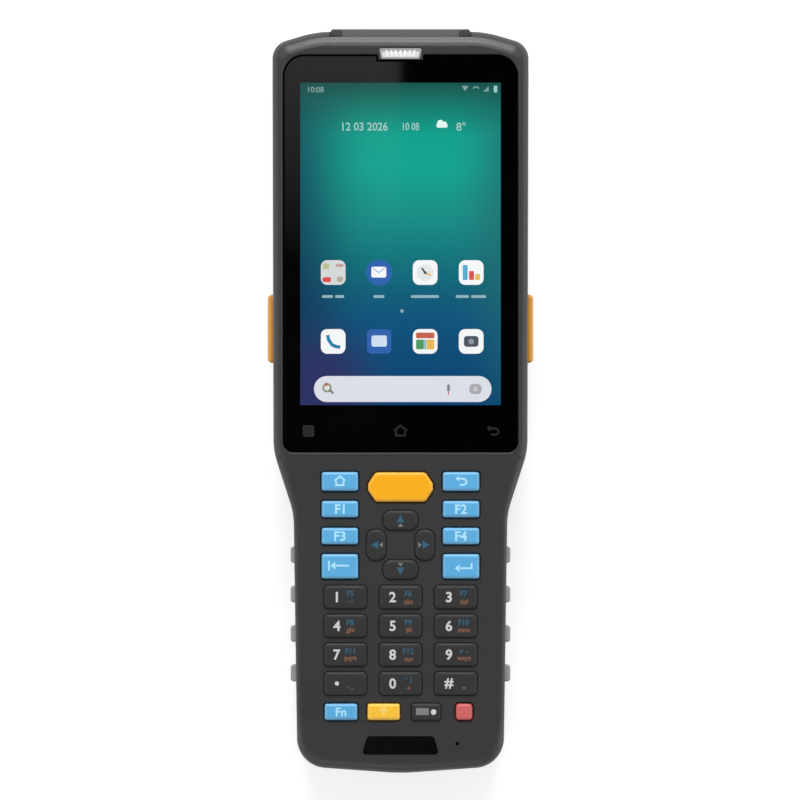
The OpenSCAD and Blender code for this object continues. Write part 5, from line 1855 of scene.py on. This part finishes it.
# --- sides and back -------------------------------------------------------------------------
@dataclass
class BackParts:
    """The triggers, grip ribs, battery, latch, port and camera, and the holes they need."""

    trigger_y: float = 19.4
    trigger_z: float = 11.4
    trigger_len: float = 18.4
    trigger_h: float = 5.6
    trigger_x: float = 34.1
    trigger_out: float = 35.7
    trigger_roll: float = 1.1
    trigger_corner: float = 1.2
    flange_out: float = 0.6
    flange_in: tuple[float, float] = (3.7, 2.9)
    trigger_gap: float = 0.3
    trigger_hole: tuple[float, float] = (30.0, 36.0)
    rib_first: float = -41.3
    rib_pitch: float = 10.6
    rib_len: float = 4.5
    rib_z0: float = 6.8
    rib_z1: float = 16.0
    rib_seat: float = 26.7
    rib_side: float = 28.2
    rib_out: float = 29.5
    rib_roll: float = 0.7
    rib_corner: float = 0.6
    rib_gap: float = 0.1
    rib_hole_x: float = 31.0
    battery_w: float = 43.8
    battery_top: float = 12.3
    battery_tail: float = 10.8
    bay_y0: float = -85.1
    bay_y1: float = -6.0
    bay_roof: float = 12.6
    pivot_y: float = -82.6
    pivot_z: float = 3.4
    barrel_r: float = 2.2
    lug_hole_r: float = 1.3
    lug_hole_x: float = 23.8
    lug_r: float = 1.1
    lug_len: float = 1.6
    pack_gap: float = 0.3
    pack_slope: float = 1.1
    pack_heel: float = 1.5
    pack_corner: float = 1.8
    bay_gap: float = 0.4
    bay_corner: float = 1.2
    latch_x: float = 7.3
    latch_y1: float = 4.6
    latch_z: float = 3.5
    rail_x: float = 8.5
    rail_z: float = 2.2
    scanner_x: float = 14.1
    scanner_y: float = 91.0
    scanner_z: tuple[float, float] = (5.5, 15.7)
    screws: tuple[tuple[float, float], ...] = ((28.1, 84.0), (27.9, 2.0), (21.5, -89.5))
    screw_r: tuple[float, float] = (2.1, 1.1)
    camera: tuple[float, float] = (-14.0, 62.0)
    camera_r: tuple[float, float] = (4.9, 3.0)
    lens_radii: tuple[float, ...] = (3.1, 2.9, 1.8, 1.6)
    flash: tuple[float, float] = (-3.5, 62.0)
    flash_r: float = 2.0
    speaker: tuple[float, float] = (14.0, 58.0)
    strap: tuple[float, float] = (12.0, 18.0)
    strap_r: float = 2.0
    slot_pitch: float = 1.8
    slot_x: float = 4.0
    slot_y: float = 0.4
    flap_x: float = 8.2
    flap_y: float = -97.7
    flap_z: tuple[float, float] = (9.6, 16.7)
    hinge_y: float = -97.3
    hinge_z: tuple[float, float] = (8.4, 10.8)
    port_size: tuple[float, float] = (9.2, 3.5)
    port_z: float = 13.35
    port_corner: float = 1.74
    port_y: tuple[float, float] = (-100.5, -90.1)

    def cutters(self) -> list[Shape]:
        """The openings in the rear housing, each apart from the others in its own piece.

        Returns:
            The shapes to cut.
        """
        wide, along = self.battery_w + 2 * self.bay_gap, self.bay_y1 - self.bay_y0
        bay = plate(round_rect(wide, along, self.bay_corner), -1, self.bay_roof)
        lugs = plate(round_disc(self.lug_hole_r, 28), -self.lug_hole_x, self.lug_hole_x)
        latch_foot = self.bay_y1 - 1
        made = [
            moved(bay, y=(self.bay_y0 + self.bay_y1) / 2),
            box(-self.latch_x, self.latch_x, latch_foot, self.latch_y1, -1, self.latch_z),
            box(-self.rail_x, self.rail_x, latch_foot, self.latch_y1, self.rail_z, self.latch_z),
            box(-self.scanner_x, self.scanner_x, self.scanner_y, OUTSIDE, *self.scanner_z),
            moved(laid(lugs, Axes.ALONG_X), y=self.pivot_y, z=self.pivot_z),
        ]
        long, high = (size + 2 * self.trigger_gap for size in (self.trigger_len, self.trigger_h))
        trigger = plate(round_rect(long, high, self.trigger_corner), *self.trigger_hole)
        more = 2 * self.rib_gap
        pocket = round_rect(self.rib_len + more, self.rib_z1 - self.rib_z0 + more, self.rib_corner)
        rib = plate(pocket, self.rib_seat, self.rib_hole_x)
        for left in (False, True):
            hole = laid(trigger, Axes.ALONG_X, left)
            made.append(moved(hole, y=self.trigger_y, z=self.trigger_z))
            made.append(joined(self.rib_row(laid(rib, Axes.ALONG_X, left))))
        made += [
            box(-self.flap_x, self.flap_x, -OUTSIDE, self.flap_y, *self.flap_z),
            box(-self.flap_x, self.flap_x, -OUTSIDE, self.hinge_y, *self.hinge_z),
            self.socket_hole(),
            joined(self.outer_holes()),
            joined([
                rod(*self.camera, self.camera_r[1], 1, 3, 40),
                *self.paired(self.screws, self.screw_r[1], 1.5, 18),
            ]),
        ]
        return made

    def outer_holes(self) -> list[Shape]:
        """The holes for the camera, the flash, the speaker, the screws and the strap.

        Returns:
            The shapes to cut.
        """
        x, y = self.speaker
        across, up = self.slot_x, self.slot_y
        rows = [y + i * self.slot_pitch for i in range(-2, 3)]
        return [
            rod(*self.camera, self.camera_r[0], -1, 1.4, 48),
            rod(*self.flash, self.flash_r, -1, 3),
            *[box(x - across, x + across, row - up, row + up, -1, 3) for row in rows],
            *self.paired(self.screws, self.screw_r[0], -1, 2.0),
            *self.paired([self.strap], self.strap_r, -1, 4.2),
        ]

    def paired(
        self, places: Sequence[tuple[float, float]], radius: float, z0: float, z1: float
    ) -> list[Shape]:
        """Round holes at places on the right and at their mirror images."""
        return [rod(s * x, y, radius, z0, z1) for x, y in places for s in (1, -1)]

    def rib_row(self, rib: Shape) -> list[Shape]:
        """Repeats a rib, or its pocket, along one side."""
        middle = (self.rib_z0 + self.rib_z1) / 2
        return [moved(rib, y=self.rib_first - i * self.rib_pitch, z=middle) for i in range(4)]

    def socket_hole(self) -> Shape:
        """The port's opening in the tail: a stadium along Y."""
        hole = plate(round_rect(*self.port_size, self.port_corner, 12), *self.port_y)
        return moved(laid(hole, Axes.ALONG_Y), z=self.port_z)

    def triggers(self) -> None:
        """Makes both triggers: a flange, a cap rolled over at its outer end, and a stem."""
        long, high, more = self.trigger_len, self.trigger_h, 2 * self.flange_out
        flat = round_rect(long, high, self.trigger_corner, 8)
        flange = round_rect(long + more, high + more, 1.4, 8)
        x, edge = self.trigger_x, self.trigger_x + 0.2
        back, front = (x - deep for deep in self.flange_in)
        sides = ((flange, back), (flange, front), (flat, front), (flat, edge))
        roll = quarter_roll(flat, edge, self.trigger_out, self.trigger_roll, 7)
        stem = plate(round_rect(4.0, 2.0, 0.3, 3), 29.2, x - 3.4)
        whole = joined([loft([*(raised(path, z) for path, z in sides), *roll]), stem])
        for left, name in ((False, "right_trigger"), (True, "left_trigger")):
            shape = moved(laid(whole, Axes.ALONG_X, left), y=self.trigger_y, z=self.trigger_z)
            piece = mesh_object(f"{name}_cap", shape)
            # painted highlight: the rim value grows towards the trigger's outer end, where its finish
            # paints a lighter orange
            mark_rim_shading(piece, np.clip((np.abs(shape[0][:, 0]) - x - 0.1) / 1.5, 0, 1))
            smooth(piece, 50)
            seat(piece, [Stock.TRIGGER], name, name)

    def ribs(self) -> None:
        """Makes the eight grip ribs, each rolled over at its outer end."""
        flat = round_rect(self.rib_len, self.rib_z1 - self.rib_z0, self.rib_corner, 6)
        roll = quarter_roll(flat, self.rib_side, self.rib_out, self.rib_roll, 6)
        one = loft([raised(flat, self.rib_seat), raised(flat, self.rib_side), *roll])
        rows = [self.rib_row(laid(one, Axes.ALONG_X, left)) for left in (False, True)]
        piece = mesh_object("grip_ribs", joined([*rows[0], *rows[1]]))
        smooth(piece, 50)
        seat(piece, [Stock.RIB], node="grip_pads")

    def battery(self) -> None:
        """Makes the battery pack: its side profile across the body, cut to its outline."""
        r, y1, y0 = self.barrel_r, self.bay_y1 - self.pack_gap, self.pivot_y - self.barrel_r
        turn = np.radians(np.linspace(0, 90, 13))
        barrel = np.stack([self.pivot_y - r * np.cos(turn), self.pivot_z - r * np.sin(turn)], 1)
        top = [
            [y1, Z.waist],
            [y1 - self.pack_slope, self.battery_top],
            [y0 + self.pack_heel, self.battery_top],
            [y0, self.battery_tail],
        ]
        half = self.battery_w / 2
        body = plate(np.concatenate([top, barrel]), -half, half)
        piece = mesh_object("battery_case", laid(body, Axes.ALONG_X))
        flat = round_rect(self.battery_w - 0.02, y1 - y0 + 0.02, self.pack_corner, 8)
        outline = plate(flat, -1, 20)
        carve(piece, [moved(outline, y=(y0 + y1) / 2)], "INTERSECT")
        smooth(piece, 30, 0.25)
        seat(piece, [Stock.BATTERY], "battery_pack", "battery_pack")
        reach = half + self.lug_len
        lugs = laid(plate(round_disc(self.lug_r, 24), -reach, reach), Axes.ALONG_X)
        pins = mesh_object("battery_lugs", moved(lugs, y=self.pivot_y, z=self.pivot_z))
        smooth(pins, 40, 0.12)
        seat(pins, [Stock.BATTERY], "battery_pack")

    def camera_rings(self) -> None:
        """Shows the lens in the camera's window: a bright stop ring, the barrel and the glass."""
        sheet = MarkSheet("camera_rings", 0.28, 0.015)
        finishes = (Stock.INK_GREY, Stock.TAPE, Stock.INK_GREY, Stock.LENS)
        for level, (radius, finish) in enumerate(zip(self.lens_radii, finishes)):
            sheet.patch(round_disc(radius, 40), *self.camera, finish, -level)
        sheet.build("camera_glass")

    def build(self) -> None:
        """Makes the pieces on the sides and back, and dresses the small ones."""
        self.triggers()
        self.camera_rings()
        self.ribs()
        self.battery()
        dress("battery_latch", Stock.LATCH, 0.15)
        dress("port_cover", Stock.FLAP, 0.15)
        dress("usb_socket", Stock.SHIELD, 0.05)
        dress("camera_window", Stock.CAMERA, 0.15)
        dress("flash_lens", Stock.CLEAR_WHITE, 0.12)
        dress("camera_module", Stock.BLACK, 0.1)
        dress("housing_screws", Stock.SCREW, 0.08)
        dress("strap_inserts", Stock.BRASS, 0.08)


@dataclass
class Internals:
    """What the housings hide, in the finishes that such parts have."""

    def build(self) -> None:
        """Dresses the boards, sockets, speakers and the frame."""
        dress("inner_frame", Stock.FRAME)
        dress("main_board", Stock.BOARD)
        dress("card_socket", Stock.SHIELD)
        dress("battery_contacts", Stock.BLACK)
        dress("loudspeaker", Stock.SPEAKER)
        dress("earpiece_speaker", Stock.SPEAKER)
        dress("housing_seal", Stock.SEAL)


# --- the studio -----------------------------------------------------------------------------
@dataclass(frozen=True)
class Softbox:
    """One soft lamp that looks at the middle of the terminal, in metres and watts."""

    name: str
    place: tuple[float, float, float]
    size: tuple[float, float]
    watts: float

    def build(self) -> None:
        """Hangs the lamp."""
        lamp = bpy.data.lights.new(self.name, "AREA")
        lamp.shape, lamp.energy = "RECTANGLE", self.watts
        lamp.size, lamp.size_y = self.size
        holder = bpy.data.objects.new(self.name, lamp)
        bpy.context.scene.collection.objects.link(holder)
        x, y, z = self.place
        holder.location = self.place
        holder.rotation_euler = (math.atan2(math.hypot(x, y), z), 0.0, math.atan2(y, x) + math.pi / 2)


LAMPS = (
    Softbox("lamp_left", (-1.3, 0.0, 0.16), (1.6, 0.22), 2.6),
    Softbox("lamp_right", (1.3, 0.0, 0.16), (1.6, 0.22), 4.4),
    Softbox("lamp_shoulder_left", (-1.15, -0.5, 0.55), (0.4, 0.3), 1.2),
    Softbox("lamp_shoulder_right", (1.15, -0.5, 0.55), (0.4, 0.3), 1.2),
    Softbox("lamp_head", (0.0, 1.15, 0.8), (0.95, 0.24), 20.0),
    Softbox("lamp_foot", (-0.3, -1.1, 0.8), (0.9, 0.35), 2.6),
)


def flat_sheet(name: str, corners: Sequence[tuple[float, float, float]]) -> Piece:
    """Makes one flat face."""
    return mesh_object(name, (np.array(corners, float), [[0, 1, 2, 3]]))


def first_look(tree: Tree, *more: str) -> Socket:
    """Is 1 for rays that come straight from the camera or from a mirror, and for further kinds.

    Args:
        tree: the node tree.
        *more: further outputs of the light path.

    Returns:
        0 or 1.
    """
    rays = put(tree, "ShaderNodeLightPath").outputs
    seen = rays["Is Camera Ray"]
    for kind in ("Is Glossy Ray", *more):
        seen = calc(tree, "MAXIMUM", seen, rays[kind])
    return seen


@dataclass
class Studio:
    """A plain pale table, soft light from all round and a camera straight above."""

    view_mm: float = 213.84
    camera_up: float = 2.5
    sensor_mm: float = 36.0
    aim: tuple[float, float] = (-0.13, 0.27)
    world_level: float = 0.34
    table_side: float = 3000.0
    table_grey: float = 0.55
    table_glow: float = 0.66
    card_up: float = 3000.0
    card_x: float = 600.0
    card_y: tuple[float, float] = (-400.0, 450.0)
    card_fade: tuple[float, float] = (80.0, 200.0)
    card_glow: tuple[float, float] = (0.02, 0.64)

    def world(self) -> None:
        """Lights the scene evenly, and shows white to the camera and in gloss."""
        world = bpy.data.worlds.new("studio_air")
        bpy.context.scene.world = world
        tree = empty_tree(world)
        shown = first_look(tree, "Is Transmission Ray")
        level = ranged(tree, shown, (0.0, 1.0), (self.world_level, 1.0))
        air = put(tree, "ShaderNodeBackground", {"Color": PURE_WHITE, "Strength": level})
        put(tree, "ShaderNodeOutputWorld", {"Surface": air.outputs[0]})

    def paper(self, piece: Piece, name: str) -> Tree:
        """Gives a piece a material of its own.

        Args:
            piece: the object.
            name: the material's name.

        Returns:
            The empty tree.
        """
        made = bpy.data.materials.new(name)
        piece.data.materials.append(made)
        return empty_tree(made)

    def table(self) -> None:
        """Lays the pale table, which can be looked through from below."""
        side = self.table_side
        corners = [(-side, -side, 0), (side, -side, 0), (side, side, 0), (-side, side, 0)]
        top = flat_sheet("table_top", corners)
        tree = self.paper(top, "table_matt_white")
        grey = (*[self.table_grey] * 3, 1.0)
        matt = put(tree, "ShaderNodeBsdfDiffuse", {"Color": grey}).outputs[0]
        light = {"Color": PURE_WHITE, "Strength": self.table_glow}
        glow = put(tree, "ShaderNodeEmission", light).outputs[0]
        dark = put(tree, "ShaderNodeEmission", {"Strength": 0.0}).outputs[0]
        lift = put(tree, "ShaderNodeMixShader", {0: first_look(tree), 1: dark, 2: glow}).outputs[0]
        both = put(tree, "ShaderNodeAddShader", {0: matt, 1: lift}).outputs[0]
        clear = put(tree, "ShaderNodeBsdfTransparent").outputs[0]
        under = put(tree, "ShaderNodeNewGeometry").outputs["Backfacing"]
        sided = put(tree, "ShaderNodeMixShader", {0: under, 1: both, 2: clear})
        put(tree, "ShaderNodeOutputMaterial", {"Surface": sided.outputs[0]})
        top.visible_diffuse = top.visible_shadow = False
        top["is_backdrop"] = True

    def sheen_card(self) -> None:
        """Hangs the card that the glass mirrors: black on the right, a fading glow on the left."""
        (y0, y1), x, up = self.card_y, self.card_x, self.card_up
        card = flat_sheet("sheen_card", [(-x, y0, up), (-x, y1, up), (x, y1, up), (x, y0, up)])
        tree = self.paper(card, "sheen_card_paper")
        split = put(tree, "ShaderNodeSeparateXYZ", {0: own_place(tree)}).outputs
        low, high = self.card_fade
        fade = ranged(tree, split[1], (low * MM, high * MM), self.card_glow)
        glow = calc(tree, "MULTIPLY", calc(tree, "LESS_THAN", split[0], 0.0), fade)
        light = put(tree, "ShaderNodeEmission", {"Color": PURE_WHITE, "Strength": glow})
        put(tree, "ShaderNodeOutputMaterial", {"Surface": light.outputs[0]})
        card.visible_camera = card.visible_diffuse = card.visible_shadow = False
        card.visible_transmission = card.visible_volume_scatter = False
        card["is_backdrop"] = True

    def camera(self) -> None:
        """Sets the camera straight above, so that its frame spans the given width."""
        data = bpy.data.cameras.new("overhead")
        data.sensor_width = self.sensor_mm
        data.lens = self.sensor_mm * self.camera_up / (self.view_mm * MM)
        data.clip_start, data.clip_end = 0.05, 20.0
        holder = bpy.data.objects.new("overhead", data)
        bpy.context.scene.collection.objects.link(holder)
        holder.location = (self.aim[0] * MM, self.aim[1] * MM, self.camera_up + Z.body * MM)
        bpy.context.scene.camera = holder

    def build(self) -> None:
        """Sets up the camera, the air, the table, the card and the lamps."""
        self.camera()
        self.world()
        self.table()
        self.sheen_card()
        for lamp in LAMPS:
            lamp.build()
        bpy.context.scene.view_settings.view_transform = "Standard"


def main() -> None:
    """Builds the terminal and the studio."""
    logging.basicConfig(level=logging.INFO, format="%(message)s")
    model_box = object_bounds()
    Studio().build()
    keypad = Keypad()
    keypad.lay_out()
    back = BackParts()
    Housings().build(keypad.keys, back)
    HEAD.build()
    Display().build()
    keypad.build()
    back.build()
    Internals().build()
    boxes = [[list(corner) for corner in pair] for pair in (model_box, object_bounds())]
    for label, (low, high) in zip(("model", "dressed"), boxes):
        low, high = (np.round(np.array(corner) / MM, 2) for corner in (low, high))
        LOG.info("%s box: %s to %s", label, low, high)


if __name__ == "__main__":
    main()
